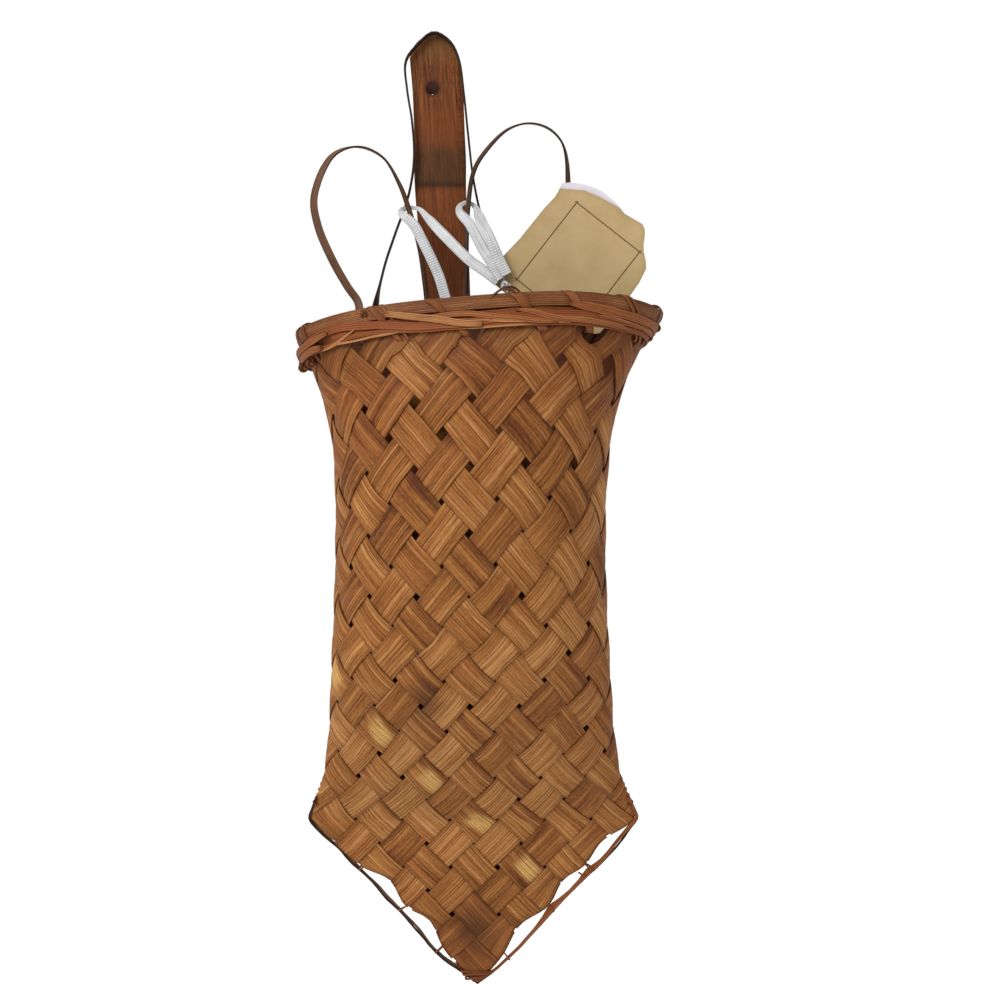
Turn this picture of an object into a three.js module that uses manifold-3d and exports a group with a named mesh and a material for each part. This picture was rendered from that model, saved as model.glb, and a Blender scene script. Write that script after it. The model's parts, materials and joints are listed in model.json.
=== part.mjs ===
import * as THREE from "three";
import { mergeVertices } from "three/addons/utils/BufferGeometryUtils.js";
import Module from "manifold-3d";

const wasm = await Module();
wasm.setup();

// A wall pocket basket in millimetres, +Z up, with the wall behind it at +Y and its back plane at y = 0.
// The origin is the nail hole in the hanging slat. Heights of the woven body are counted from its tip.

// Body: places of the weave
const nailToTip = 415;
const bodyAxisX = 21.7;
const cornerHeight = 78;
const foldedHalfGap = 1.35;
const cornerBulge = 6;

// Rim: how far the mouth rises all round, at its front, at front and back, at each third turn and at its right
const rimMeanRise = 6.1;
const rimFrontRise = 4.3;
const rimOvalRise = 1.9;
const rimThirdRise = -1.3;
const rimSideRise = 4.7;

// Body: stations of the outline above the corners, as rise over the one below, half width, half depth and sway
const tipSway = -0.9;
const cornerSway = -2.5;
const cornerHalfWidth = 75.4;
const lowerBody = { rise: 26, halfWidth: 66, halfDepth: 19, sway: -3 };
const middleBody = { rise: 46, halfWidth: 61.3, halfDepth: 35, sway: -3.3 };
const waist = { rise: 62, halfWidth: 58.7, halfDepth: 44, sway: -3.2 };
const upperBody = { rise: 40, halfWidth: 61.4, halfDepth: 46, sway: -2.2 };
const neck = { rise: 23, halfWidth: 68.6, halfDepth: 44, sway: -1.2 };
const mouth = { rise: 22, halfWidth: 78, halfDepth: 41, sway: 0.6 };

// Weave: counts, and the size of a splint
const splintCount = 14;
const foldRows = splintCount / 4;
const weaveRows = 12.5;
const roundRows = 7;
const seatStartRows = 10.5;
const seatRows = 2;
const halfCellRows = 0.5;
const splintWidth = 14.2;
const splintThickness = 0.72;
const clearance = 0.3;
const leastGapShare = 0.038;
const rowStretchShare = 0.1;
const foldReach = 0.4;

// Rim: hoops, strips and lashing
const hoopThickness = 1.6;
const innerHoopHeight = 10;
const upperHoopHeight = 6;
const rimStripHeight = 2.1;
const rimStripThickness = 1.4;
const rimStripCount = 3;
const lashingWidth = 4.4;
const lashingThickness = 0.7;
const lashingBulge = 0.35;
const hoopEase = 0.15;
const hoopSteps = 56;
const lashingRows = 12;
const hoopRise = 1.1;

// Hanging slat
const slatThickness = 3;
const slatTopRise = 24.6;
const slatShoulderRise = 13.4;
const slatWidth = 24;
const slatRimWidth = 18.8;
const slatTaperShare = 0.061;
const slatRimDrop = 97;
const slatTailDrop = 215;
const slatLeanShare = 0.0608;
const slatOffset = 2.1;
const nailHoleRadius = 2.95;
const slatBendShare = 0.8;

// Ties that hold the slat to the weave
const slatTieHeight = 1.3;
const slatTieThickness = 0.7;
const slatTieRows = [11, 9];
const slatGrooveDepth = slatTieThickness + 2 * clearance;

// Handle loops of thin splint
const loopWidth = 4.2;
const loopThickness = 1;
const footRows = 12.14;
const faceOnAngle = 0.1;
const halfTurnedAngle = 0.95;
const edgeOnAngle = Math.PI / 2;
const sideLoopDepth = 12;
const leftLoop = { left: -54, span: 53, top: -28.8, rise: 78, depth: sideLoopDepth };
const centreLoop = { left: -26.9, span: 64, top: 25.2, rise: 132, depth: 5.5 };
const rightLoop = { left: 15.3, span: 47.4, top: -18, rise: 89, depth: sideLoopDepth };
const loops = [
  {
    name: "loop_left",
    place: leftLoop,
    startFoot: -4.85,
    endFoot: -6.17,
    startTwist: faceOnAngle,
    topTwist: edgeOnAngle,
    endTwist: halfTurnedAngle,
    shares: [
      [0.385, 0.075],
      [0.29, 0.175],
      [0.16, 0.33],
      [0.03, 0.54],
      [0, 0.71],
      [0.16, 0.95],
      [0.38, 1],
      [0.59, 0.94],
      [0.74, 0.78],
      [0.85, 0.57],
      [0.92, 0.39],
    ],
  },
  {
    name: "loop_centre",
    place: centreLoop,
    startFoot: -5.12,
    endFoot: 6.18,
    startTwist: edgeOnAngle,
    topTwist: edgeOnAngle,
    endTwist: edgeOnAngle,
    shares: [
      [0.07, 0.17],
      [0.15, 0.29],
      [0.25, 0.43],
      [0.29, 0.56],
      [0.275, 0.69],
      [0.24, 0.8],
      [0.23, 0.9],
      [0.31, 0.955],
      [0.43, 1],
      [0.545, 0.97],
      [0.61, 0.91],
      [0.65, 0.78],
      [0.68, 0.64],
      [0.72, 0.48],
      [0.79, 0.33],
      [0.9, 0.19],
    ],
  },
  {
    name: "loop_right",
    place: rightLoop,
    startFoot: 7.24,
    endFoot: 5.76,
    startTwist: halfTurnedAngle,
    topTwist: edgeOnAngle,
    endTwist: halfTurnedAngle,
    shares: [
      [0.01, 0.25],
      [0.03, 0.57],
      [0.09, 0.76],
      [0.22, 0.87],
      [0.42, 0.97],
      [0.63, 1],
      [0.82, 0.97],
      [0.95, 0.89],
      [1, 0.7],
      [0.95, 0.4],
    ],
  },
];

// Cords along the two folded edges of the point
const edgeStrandRadius = 0.72;
const edgeStrandSpread = 0.86;
const edgeCordTurns = 5;
const edgeCordSag = 1.6;
const edgeCordSpans = 3;
const edgeCordLooseShare = 0.78;
const edgeCordTopRows = 4.15;
const edgeCordEndRows = 0.12;
const edgeCordTurnRows = 0.5;
const cornerTieThickness = 0.5;
const tipWrapHeight = 4;
const tipWrapThickness = 0.8;
const tipWrapRise = 4.5;
const tipWrapBluntShare = 0.22;

// Paper tag and its card
const tagWidth = 57;
const tagLength = 61.5;
const tagChamfer = 12;
const tagThickness = 0.5;
const cardThickness = 0.4;
const cardShift = 1.8;
const tagHoleRadius = 1.7;
const tagHoleEdge = 5;
const tagHoleFoot = 6.3;
const tagHoleChamfer = 4;
const tagTurn = THREE.MathUtils.degToRad(39);
const tagYaw = THREE.MathUtils.degToRad(12);
const tagHole = { x: 32.7, y: -34, z: -89.4 };

// Ribbon that ties the tag on
const ribbonWidth = 4.8;
const ribbonThickness = 0.4;
const knotRadius = 2.6;
const tieThreadRadius = 0.45;
const threadLean = 0.3;
const threadReach = 6.6;
const threadDepth = 3.5;
const knotDepth = 1.9;
const ribbonSteps = 44;
const ribbonGatherShare = 0.62;
const ribbonGatherReachShare = 0.09;
const leftRibbonRoute = [
  [6.7, -22, -99.5],
  [3.2, -20, -88.2],
  [-3.4, -18, -74],
  [-8.6, -16.4, -64.5],
  [-13.2, -14.8, -60.4],
  [-13.6, -11.2, -57.6],
  [-10, -9.2, -56.4],
  [-6, -9.6, -57],
  [-1.9, -13.2, -61.5],
  [5, -19.5, -69.5],
  [17.6, -29.5, -83],
  [26.4, -35.6, -90],
  [30.6, -37.4, -93.6],
];
const rightRibbonRoute = [
  [32, -39.4, -92.4],
  [28.2, -37.4, -86],
  [24.2, -34, -79.4],
  [21.6, -26.6, -73.6],
  [17.4, -20.4, -65.2],
  [12.9, -15.4, -59.2],
  [13.2, -11, -55.6],
  [16.4, -8.9, -53.8],
  [19.8, -10.6, -56],
  [21.6, -18, -61],
  [23.6, -31, -67],
  [27, -37.6, -74.6],
  [30.8, -38.8, -83.4],
  [34.4, -40.2, -90.8],
];

const wallward = new THREE.Vector3(0, 1, 0);
const rightward = new THREE.Vector3(1, 0, 0);

function vector(x, y, z) {
  return new THREE.Vector3(x, y, z);
}

const tagHolePlace = vector(tagHole.x, tagHole.y, tagHole.z);

function smooth(t) {
  const s = Math.min(Math.max(t, 0), 1);
  return s * s * (3 - 2 * s);
}

// Value of a smooth curve through stations, each a pair of place and value.
function through(stations, place) {
  const last = stations.length - 1;
  let i = 0;
  while (i < last - 1 && place > stations[i + 1][0]) i += 1;
  const [x0, y0] = stations[i];
  const [x1, y1] = stations[i + 1];
  const slope = (a, b) => (stations[b][1] - stations[a][1]) / (stations[b][0] - stations[a][0]);
  const start = slope(Math.max(i - 1, 0), i + 1);
  const end = slope(i, Math.min(i + 2, last));
  const span = x1 - x0;
  const t = Math.min(Math.max((place - x0) / span, 0), 1);
  const rest = 1 - t;
  const near = rest * rest * (1 + 2 * t) * y0 + t * t * (3 - 2 * t) * y1;
  return near + t * rest * span * (rest * start - t * end);
}

const widthStations = [[cornerHeight, cornerHalfWidth]];
const depthStations = [[cornerHeight, foldedHalfGap + cornerBulge]];
const swayStations = [
  [0, tipSway],
  [cornerHeight, cornerSway],
];
let rimHeight = cornerHeight;
for (const station of [lowerBody, middleBody, waist, upperBody, neck, mouth]) {
  rimHeight += station.rise;
  widthStations.push([rimHeight, station.halfWidth]);
  depthStations.push([rimHeight, station.halfDepth]);
  swayStations.push([rimHeight, station.sway]);
}

// Places in the thickness of the wall, measured outwards from its middle surface
const layerMiddle = (splintThickness + clearance) / 2;
const layerFace = splintThickness + clearance / 2;
const footFace = layerFace + clearance;
const footDepth = footFace + loopThickness;
const innerHoopFace = footDepth + clearance;
const innerHoopBack = innerHoopFace + hoopThickness;
const outerHoopFace = layerFace + clearance + hoopEase;
const outerHoopFront = outerHoopFace + hoopThickness;
const lashingInside = innerHoopBack + clearance;
const lashingOutside = outerHoopFront + clearance;
const lashingFront = lashingOutside + lashingThickness;
const wallClearance = slatThickness + clearance + layerFace;
const rimWallClearance = slatThickness + clearance + lashingFront;

// Height above the tip of a row of the weave, before the rise of the rim.
function rowHeight(row) {
  if (row <= foldRows) return (cornerHeight * row) / foldRows;
  const t = (row - foldRows) / (weaveRows - foldRows);
  return cornerHeight + (rimHeight - cornerHeight) * (t * (1 - rowStretchShare) + rowStretchShare * t * t);
}

// Section of the body at a row: half width, half depth, centre and the arc table of its front quarter.
const sections = new Map();
const sectionSteps = 64;

function sectionAt(row) {
  const key = row.toFixed(5);
  if (sections.has(key)) return sections.get(key);
  const height = rowHeight(row);
  const folded = row <= foldRows;
  const share = height / cornerHeight;
  const a = folded ? cornerHalfWidth * share : through(widthStations, height);
  const b = folded ? foldedHalfGap + cornerBulge * share : through(depthStations, height);
  const round = smooth(row - foldRows);
  const outline = (s) => {
    const angle = (s * Math.PI) / 2;
    const flat = foldedHalfGap * (1 - round);
    const bow = (b - flat) * (1 - s * s);
    const flatPoint = [a * s, flat + bow];
    const roundPoint = [a * Math.sin(angle), b * Math.cos(angle)];
    return [0, 1].map((i) => flatPoint[i] * (1 - round) + roundPoint[i] * round);
  };
  const points = [];
  const lengths = [0];
  for (let i = 0; i <= sectionSteps; i += 1) points.push(outline(i / sectionSteps));
  for (let i = 1; i <= sectionSteps; i += 1) {
    const step = Math.hypot(points[i][0] - points[i - 1][0], points[i][1] - points[i - 1][1]);
    lengths.push(lengths[i - 1] + step);
  }
  const seat = THREE.MathUtils.lerp(wallClearance, rimWallClearance, smooth((row - seatStartRows) / seatRows));
  const sway = through(swayStations, height);
  const section = { points, lengths, quarter: lengths[sectionSteps], centre: -(seat + b), sway, height };
  sections.set(key, section);
  return section;
}

const leastRows = 1e-6;

// Middle surface of the wall. Around counts splints from the middle of the front, towards +X.
function surfacePoint(around, row) {
  const section = sectionAt(row);
  const half = splintCount / 2;
  const turned = ((((around + half) % splintCount) + splintCount) % splintCount) - half;
  const quarterSpan = row <= foldRows ? Math.max(row, leastRows) : foldRows;
  const side = Math.sign(turned) || 1;
  let distance = Math.abs(turned);
  let face = -1;
  if (distance > foldRows) {
    distance = half - distance;
    face = 1;
  }
  const wanted = Math.min(distance / quarterSpan, 1) * section.quarter;
  let i = 1;
  while (i < sectionSteps && section.lengths[i] < wanted) i += 1;
  const t = (wanted - section.lengths[i - 1]) / (section.lengths[i] - section.lengths[i - 1]);
  const [x, y] = [0, 1].map((k) => section.points[i - 1][k] * (1 - t) + section.points[i][k] * t);
  const turn = (turned / splintCount) * 2 * Math.PI;
  const atMouth = smooth((row - roundRows) / (weaveRows - roundRows));
  const tilt = rimFrontRise * Math.cos(turn) + rimSideRise * Math.sin(turn);
  const waves = rimOvalRise * Math.cos(2 * turn) + rimThirdRise * Math.cos(3 * turn);
  const lift = rimMeanRise + tilt + waves;
  const z = section.height + lift * atMouth - nailToTip;
  // The body sways to one side, but the middle of its back stays behind the slat.
  const swayShare = face < 0 ? 1 : (x / section.points[sectionSteps][0]) ** 2;
  return vector(bodyAxisX + side * x + section.sway * swayShare, section.centre + face * y, z);
}

const probe = 0.02;

// Outward direction of the wall. On a folded edge it lies in the plane of the fold.
function surfaceNormal(around, row) {
  const step = (u, v) => surfacePoint(around + u, row + v);
  const across = step(probe, 0).sub(step(-probe, 0));
  const along = step(0, probe).sub(step(0, -probe));
  return across.cross(along).normalize();
}

function wallPoint(around, row, outwards) {
  return surfacePoint(around, row).addScaledVector(surfaceNormal(around, row), outwards);
}

// A flat panel of the folded point faces the wall or the room squarely near its edges.
function panelNormal(around, row) {
  const back = Math.abs(around) > foldRows;
  const along = surfacePoint(around, row + probe).sub(surfacePoint(around, row));
  const flat = rightward.clone().cross(along).normalize();
  return back ? flat.multiplyScalar(Math.sign(flat.y) || 1) : flat.multiplyScalar(-Math.sign(flat.y) || 1);
}

// A body from rings of points: each ring joins the next, and the ends are closed or meet.
function ringBody(rings, closed, diagonals) {
  const size = rings[0].length;
  const positions = rings.flat().flatMap((p) => [p.x, p.y, p.z]);
  const faces = [];
  const spans = closed ? rings.length : rings.length - 1;
  for (let r = 0; r < spans; r += 1) {
    const next = (r + 1) % rings.length;
    for (let k = 0; k < size; k += 1) {
      const [a, b] = [r * size + k, r * size + ((k + 1) % size)];
      const [c, d] = [next * size + k, next * size + ((k + 1) % size)];
      const swap = diagonals ? diagonals(r, k) : false;
      if (swap) faces.push([a, b, d], [a, d, c]);
      else faces.push([a, b, c], [b, d, c]);
    }
  }
  if (!closed) {
    const end = (rings.length - 1) * size;
    for (let k = 1; k < size - 1; k += 1) {
      faces.push([0, k + 1, k], [end, end + k, end + k + 1]);
    }
  }
  const geometry = new THREE.BufferGeometry();
  geometry.setAttribute("position", new THREE.Float32BufferAttribute(positions, 3));
  geometry.setIndex(faces.flat());
  return facingOut(geometry);
}

function facingOut(geometry) {
  const at = geometry.getAttribute("position");
  const index = geometry.getIndex();
  const corner = (i) => new THREE.Vector3().fromBufferAttribute(at, index.getX(i));
  let volume = 0;
  for (let i = 0; i < index.count; i += 3) volume += corner(i).dot(corner(i + 1).cross(corner(i + 2)));
  if (volume < 0) {
    for (let i = 0; i < index.count; i += 3) {
      const first = index.getX(i);
      index.setX(i, index.getX(i + 1));
      index.setX(i + 1, first);
    }
  }
  geometry.computeVertexNormals();
  return geometry;
}

const basket = new THREE.Group();

function finish(color, roughness) {
  return new THREE.MeshStandardMaterial({ color, roughness, metalness: 0 });
}

const splintFinish = finish(0xa56c37, 0.6);
const rimFinish = finish(0x9c5429, 0.6);
const hoopFinish = finish(0x7c4a2a, 0.6);
const slatFinish = finish(0x784123, 0.45);
const loopFinish = finish(0x5a4030, 0.5);
const paperFinish = finish(0xc1a876, 0.85);
const cardFinish = finish(0xe1d7e1, 0.8);
const ribbonFinish = finish(0xe6e3ea, 0.35);

function addPiece(name, geometry, material) {
  const mesh = new THREE.Mesh(geometry, material);
  mesh.name = name;
  basket.add(mesh);
}

// Splints of the bias weave. A crossing is named by its two diagonal counts, right-leaning and left-leaning.
function gapShare(row) {
  const place = Math.max(row, 1);
  const rise = rowHeight(place + halfCellRows) - rowHeight(place - halfCellRows);
  const quarterSpan = place <= foldRows ? place : foldRows;
  const run = sectionAt(place).quarter / quarterSpan;
  const pitch = (rise * run) / Math.hypot(rise, run);
  return Math.max((1 - splintWidth / pitch) / 2, leastGapShare);
}

// Corner of a crossing: a point and the direction of its layers.
function crossingCorner(rightCount, leftCount, rightEnd, leftEnd, back) {
  const row = (rightCount + leftCount + 1) / 2;
  const gap = gapShare(row);
  const right = rightCount + (rightEnd ? 1 - gap : gap);
  const left = leftCount + (leftEnd ? 1 - gap : gap);
  const around = (right - left) / 2 + (back ? splintCount / 2 : 0);
  const height = (right + left) / 2;
  const point = surfacePoint(around, height);
  const inPoint = height < foldRows;
  const normal = inPoint ? panelNormal(back ? splintCount / 2 : 0, height) : surfaceNormal(around, height);
  return { point, normal };
}

function layered(corners, outwards) {
  const [low, high] = corners;
  const half = splintThickness / 2;
  return [
    low.point.clone().addScaledVector(low.normal, outwards + half),
    high.point.clone().addScaledVector(high.normal, outwards + half),
    high.point.clone().addScaledVector(high.normal, outwards - half),
    low.point.clone().addScaledVector(low.normal, outwards - half),
  ];
}

// One splint: down one face of the basket, round the folded edge of the point, and up the other face.
// Side +1 folds on the right edge, side -1 on the left one.
function splintGeometry(track, side) {
  const crossings = lashingRows * 2 - track;
  const rings = [];
  const downward = [];
  const onFace = (count, back) => {
    // The front of a right-folding splint and the back of a left-folding one lean the same way.
    const leansRight = side > 0 ? !back : back;
    const corner = (trackEnd, crossEnd) =>
      leansRight
        ? crossingCorner(track, count, trackEnd, crossEnd, back)
        : crossingCorner(count, track, crossEnd, trackEnd, back);
    const even = (track + count) % 2 === 0;
    const outside = leansRight ? even : !even;
    const outwards = layerMiddle * (outside ? 1 : -1);
    const near = layered([corner(false, false), corner(true, false)], outwards);
    const far = layered([corner(false, true), corner(true, true)], outwards);
    return [near, far];
  };
  for (let count = crossings - 1; count >= 0; count -= 1) {
    const [near, far] = onFace(count, false);
    rings.push(far, near);
    downward.push(true, true);
  }
  rings.push(foldRing(track, side));
  downward.push(false);
  for (let count = 0; count < crossings; count += 1) {
    rings.push(...onFace(count, true));
    downward.push(false, false);
  }
  const diagonals = (r, k) => {
    const faceSide = k === 0;
    return downward[r] === faceSide ? false : true;
  };
  return ringBody(rings, false, diagonals);
}

// Middle of the folded edge, or of the crease above a lower corner.
function creasePoint(side, row) {
  const point = surfacePoint(side * Math.min(row, foldRows), row);
  return point.setY(sectionAt(row).centre);
}

// Ring of a splint where it turns round the folded edge.
function foldRing(track, side) {
  const gap = gapShare((track + 1) / 2);
  const edgePoint = (place) => creasePoint(side, place / 2);
  const low = edgePoint(track + gap);
  const high = edgePoint(track + 1 - gap);
  const along = high.clone().sub(low).normalize();
  const outwards = along.clone().cross(wallward).multiplyScalar(side).normalize();
  const half = splintThickness / 2;
  return [
    low.clone().addScaledVector(outwards, foldReach + half),
    high.clone().addScaledVector(outwards, foldReach + half),
    high.clone().addScaledVector(outwards, foldReach - half),
    low.clone().addScaledVector(outwards, foldReach - half),
  ];
}

function addSplints() {
  for (let i = 0; i < splintCount; i += 1) {
    const side = i < splintCount / 2 ? 1 : -1;
    const track = i % (splintCount / 2);
    const name = "splint_" + String(i + 1).padStart(2, "0");
    addPiece(name, splintGeometry(track, side), splintFinish);
  }
}

// Rim pieces. A height on the rim is counted in millimetres above the row of holes that the lashing uses.
const rimRowRise = rowHeight(weaveRows) - rowHeight(weaveRows - 1);

function rimRow(height) {
  return lashingRows + height / rimRowRise;
}

function spread(count, make) {
  return Array.from({ length: count }, (_, i) => make(i));
}

function hoopGeometry(low, high, inside, outside) {
  const rings = spread(hoopSteps, (i) => {
    const around = (i / hoopSteps) * splintCount;
    return [
      wallPoint(around, rimRow(low), outside),
      wallPoint(around, rimRow(high), outside),
      wallPoint(around, rimRow(high), inside),
      wallPoint(around, rimRow(low), inside),
    ];
  });
  return ringBody(rings, true);
}

const stripPitch = rimStripHeight + clearance;
const upperHoopLow = hoopRise + rimStripCount * stripPitch;
const rimTop = upperHoopLow + upperHoopHeight;

function addRim() {
  const innerLow = rimTop - innerHoopHeight;
  addPiece("rim_inner_hoop", hoopGeometry(innerLow, rimTop, -innerHoopBack, -innerHoopFace), hoopFinish);
  addPiece("rim_outer_hoop", hoopGeometry(upperHoopLow, rimTop, outerHoopFace, outerHoopFront), hoopFinish);
  for (let i = 0; i < rimStripCount; i += 1) {
    const low = hoopRise + i * stripPitch;
    const front = outerHoopFace + rimStripThickness;
    const name = "rim_strip_" + (i + 1);
    addPiece(name, hoopGeometry(low, low + rimStripHeight, outerHoopFace, front), rimFinish);
  }
  addPiece("rim_lashing", lashingGeometry(), rimFinish);
}

// One long splint that spirals round the rim and goes through a hole of the weave at each turn.
const lashingStart = 4;
const topStartShare = 0.38;
const topEndShare = 0.58;

function lashingGeometry() {
  const around = surfacePoint(1, lashingRows).distanceTo(surfacePoint(0, lashingRows));
  const halfWidth = lashingWidth / around / 2;
  const ring = (place, innerHeight, outerHeight, innerDepth, outerDepth) => {
    const at = (side, height, depth) => wallPoint(place + side * halfWidth, rimRow(height), depth);
    return [
      at(-1, innerHeight, innerDepth),
      at(1, innerHeight, innerDepth),
      at(1, outerHeight, outerDepth),
      at(-1, outerHeight, outerDepth),
    ];
  };
  const half = lashingThickness / 2;
  const top = rimTop + clearance;
  const inside = [-lashingInside, -lashingInside - lashingThickness];
  const outside = [lashingOutside, lashingFront];
  const bulged = outside.map((depth) => depth + lashingBulge);
  const rings = [];
  for (let turn = 0; turn < splintCount; turn += 1) {
    const place = lashingStart + turn;
    rings.push(
      ring(place, half, -half, ...outside),
      ring(place, half, -half, ...inside),
      ring(place + topStartShare, top, top + lashingThickness, ...inside),
      ring(place + topEndShare, top, top + lashingThickness, ...outside),
      ring(place + (topEndShare + 1) / 2, rimTop / 2, rimTop / 2, ...bulged),
    );
  }
  return ringBody(rings, false);
}

// Hanging slat: a flat bamboo strip with a pointed head, a nail hole and a tapered tail.
function slatCentre(z) {
  return slatOffset - slatLeanShare * z;
}

function slatHalfWidth(z) {
  const belowRim = Math.max(-slatRimDrop - z, 0);
  const towardsRim = Math.min(-z / slatRimDrop, 1);
  return (THREE.MathUtils.lerp(slatWidth, slatRimWidth, towardsRim) - slatTaperShare * belowRim) / 2;
}

function addSlat() {
  const outline = new THREE.Shape();
  const edge = (side, z) => [slatCentre(z) + side * slatHalfWidth(Math.min(z, 0)), z];
  const tailRadius = slatHalfWidth(-slatTailDrop);
  outline.moveTo(...edge(1, -slatTailDrop + tailRadius));
  outline.lineTo(...edge(1, -slatRimDrop));
  outline.lineTo(...edge(1, 0));
  outline.lineTo(...edge(1, slatShoulderRise));
  const apex = [slatCentre(slatTopRise), slatTopRise];
  outline.quadraticCurveTo(...edge(1, slatTopRise * slatBendShare), ...apex);
  outline.quadraticCurveTo(...edge(-1, slatTopRise * slatBendShare), ...edge(-1, slatShoulderRise));
  outline.lineTo(...edge(-1, 0));
  outline.lineTo(...edge(-1, -slatRimDrop));
  outline.lineTo(...edge(-1, -slatTailDrop + tailRadius));
  outline.quadraticCurveTo(...edge(0, -slatTailDrop - tailRadius), ...edge(1, -slatTailDrop + tailRadius));
  const hole = new THREE.Path();
  hole.absarc(0, 0, nailHoleRadius, 0, 2 * Math.PI, true);
  outline.holes.push(hole);
  const options = { depth: slatThickness, bevelEnabled: false, curveSegments: 8 };
  const bare = new THREE.ExtrudeGeometry(outline, options).rotateX(Math.PI / 2);
  const geometry = slatTieRows.reduce((body, row) => cut(body, slatGroove(row)), bare);
  addPiece("hanging_slat", geometry, slatFinish);
}

// A groove across the back of the slat, in which a tie lies below the face that rests on the wall.
function slatGroove(row) {
  const half = slatTieHeight / 2 + clearance;
  const [right, left] = slatTieHoles(row);
  const reach = right.clone().sub(left).setLength(slatWidth);
  const rings = [right.clone().add(reach), left.clone().sub(reach)].map((end) => {
    const level = (depth, side) => vector(end.x, depth, end.z + side * half);
    return [level(-slatGrooveDepth, -1), level(-slatGrooveDepth, 1), level(clearance, 1), level(clearance, -1)];
  });
  return ringBody(rings, false);
}

// A closed band from pairs of inner and outer plan points, each with the height of its middle.
function bandRing(inner, outer, height) {
  const rise = vector(0, 0, height / 2);
  const rings = inner.map((p, i) => [
    p.clone().sub(rise),
    p.clone().add(rise),
    outer[i].clone().add(rise),
    outer[i].clone().sub(rise),
  ]);
  return ringBody(rings, true);
}

function slatTieHoles(row) {
  return [surfacePoint(splintCount / 2, row), surfacePoint(1 - splintCount / 2, row)];
}

// Each tie goes through two holes of the back of the weave and round the slat.
function slatTieGeometry(row) {
  const inside = layerFace + clearance;
  const [right, left] = slatTieHoles(row);
  const corner = (hole, side, grow) => {
    const reach = side * (slatTieThickness * (grow ? 1 : 0) - slatTieThickness / 2);
    const depth = grow ? slatTieThickness : 0;
    return {
      front: vector(hole.x + reach, hole.y - inside - depth, hole.z),
      back: vector(hole.x + reach, depth - slatTieThickness - clearance, hole.z),
    };
  };
  const ring = (grow) => {
    const [r, l] = [corner(right, 1, grow), corner(left, -1, grow)];
    return [l.front, r.front, r.back, l.back];
  };
  return bandRing(ring(false), ring(true), slatTieHeight);
}

function addSlatTies() {
  slatTieRows.forEach((row, i) => addPiece("slat_tie_" + (i + 1), slatTieGeometry(row), loopFinish));
}

// A flat strip along a route. The width direction of each ring is given by the caller.
function stripRings(points, widthways, widthAt, thickness) {
  const last = points.length - 1;
  return points.map((p, i) => {
    const width = widthAt(i / last);
    const tangent = points[Math.min(i + 1, last)].clone().sub(points[Math.max(i - 1, 0)]).normalize();
    const across = widthways(tangent, i / last, p).normalize();
    const face = tangent.clone().cross(across).normalize().multiplyScalar(thickness / 2);
    const square = face.clone().cross(tangent).normalize().multiplyScalar(width / 2);
    return [
      p.clone().sub(square).sub(face),
      p.clone().add(square).sub(face),
      p.clone().add(square).add(face),
      p.clone().sub(square).add(face),
    ];
  });
}

function smoothRoute(points, steps) {
  return new THREE.CatmullRomCurve3(points, false, "centripetal").getSpacedPoints(steps);
}

// Handle loops. Both feet stand between the weave and the inner hoop at the back of the rim.
const loopSteps = 34;
const footShare = 0.053;
const turnShare = 0.08;
const topShare = 0.55;
const twistShare = 0.28;

function footPoints(around) {
  const depth = -(footFace + loopThickness / 2);
  return [footRows, rimRow(rimTop)].map((row) => wallPoint(around, row, depth));
}

function wallwise(around) {
  const step = surfacePoint(around + 1, weaveRows).sub(surfacePoint(around - 1, weaveRows));
  return step.setZ(0).normalize();
}

function loopGeometry(loop) {
  const [startFoot, endFoot] = [footPoints(loop.startFoot), footPoints(loop.endFoot)];
  const { left, span, top, rise, depth } = loop.place;
  const route = loop.shares.map(([x, z]) => vector(left + x * span, -depth, top - (1 - z) * rise));
  const points = smoothRoute([...startFoot, ...route, ...endFoot.reverse()], loopSteps);
  const feet = [wallwise(loop.startFoot), wallwise(loop.endFoot)];
  const widthways = (tangent, t) => {
    const legTwist = t < topShare ? loop.startTwist : loop.endTwist;
    const fromTop = Math.abs(t - topShare) / twistShare;
    const twist = THREE.MathUtils.lerp(loop.topTwist, legTwist, smooth(fromTop));
    const free = tangent.clone().cross(wallward).normalize().multiplyScalar(Math.cos(twist));
    free.addScaledVector(wallward, Math.sin(twist));
    const foot = feet[Math.round(t)].clone();
    if (foot.dot(free) < 0) foot.negate();
    return foot.lerp(free, smooth((Math.min(t, 1 - t) - footShare) / turnShare));
  };
  return ringBody(stripRings(points, widthways, () => loopWidth, loopThickness), false);
}

function addLoops() {
  loops.forEach((loop) => addPiece(loop.name, loopGeometry(loop), loopFinish));
}

// Cords of two twisted strands along the folded edges of the point.
const strandSides = 5;
const strandSteps = 44;
const edgeCordReach = edgeStrandRadius + edgeStrandSpread;
const edgeCordSeat = layerFace + clearance + edgeCordReach;

function edgeCordLine(side, t) {
  const row = THREE.MathUtils.lerp(edgeCordTopRows, edgeCordEndRows, t);
  const edge = creasePoint(side, row);
  const slant = smooth((foldRows - row) / edgeCordTurnRows);
  const outwards = vector(side, 0, -slant).normalize();
  const loose = Math.min(t / edgeCordLooseShare, 1);
  const sag = edgeCordSag * Math.abs(Math.sin(edgeCordSpans * Math.PI * loose)) * slant;
  return edge.addScaledVector(outwards, edgeCordSeat + sag);
}

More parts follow.
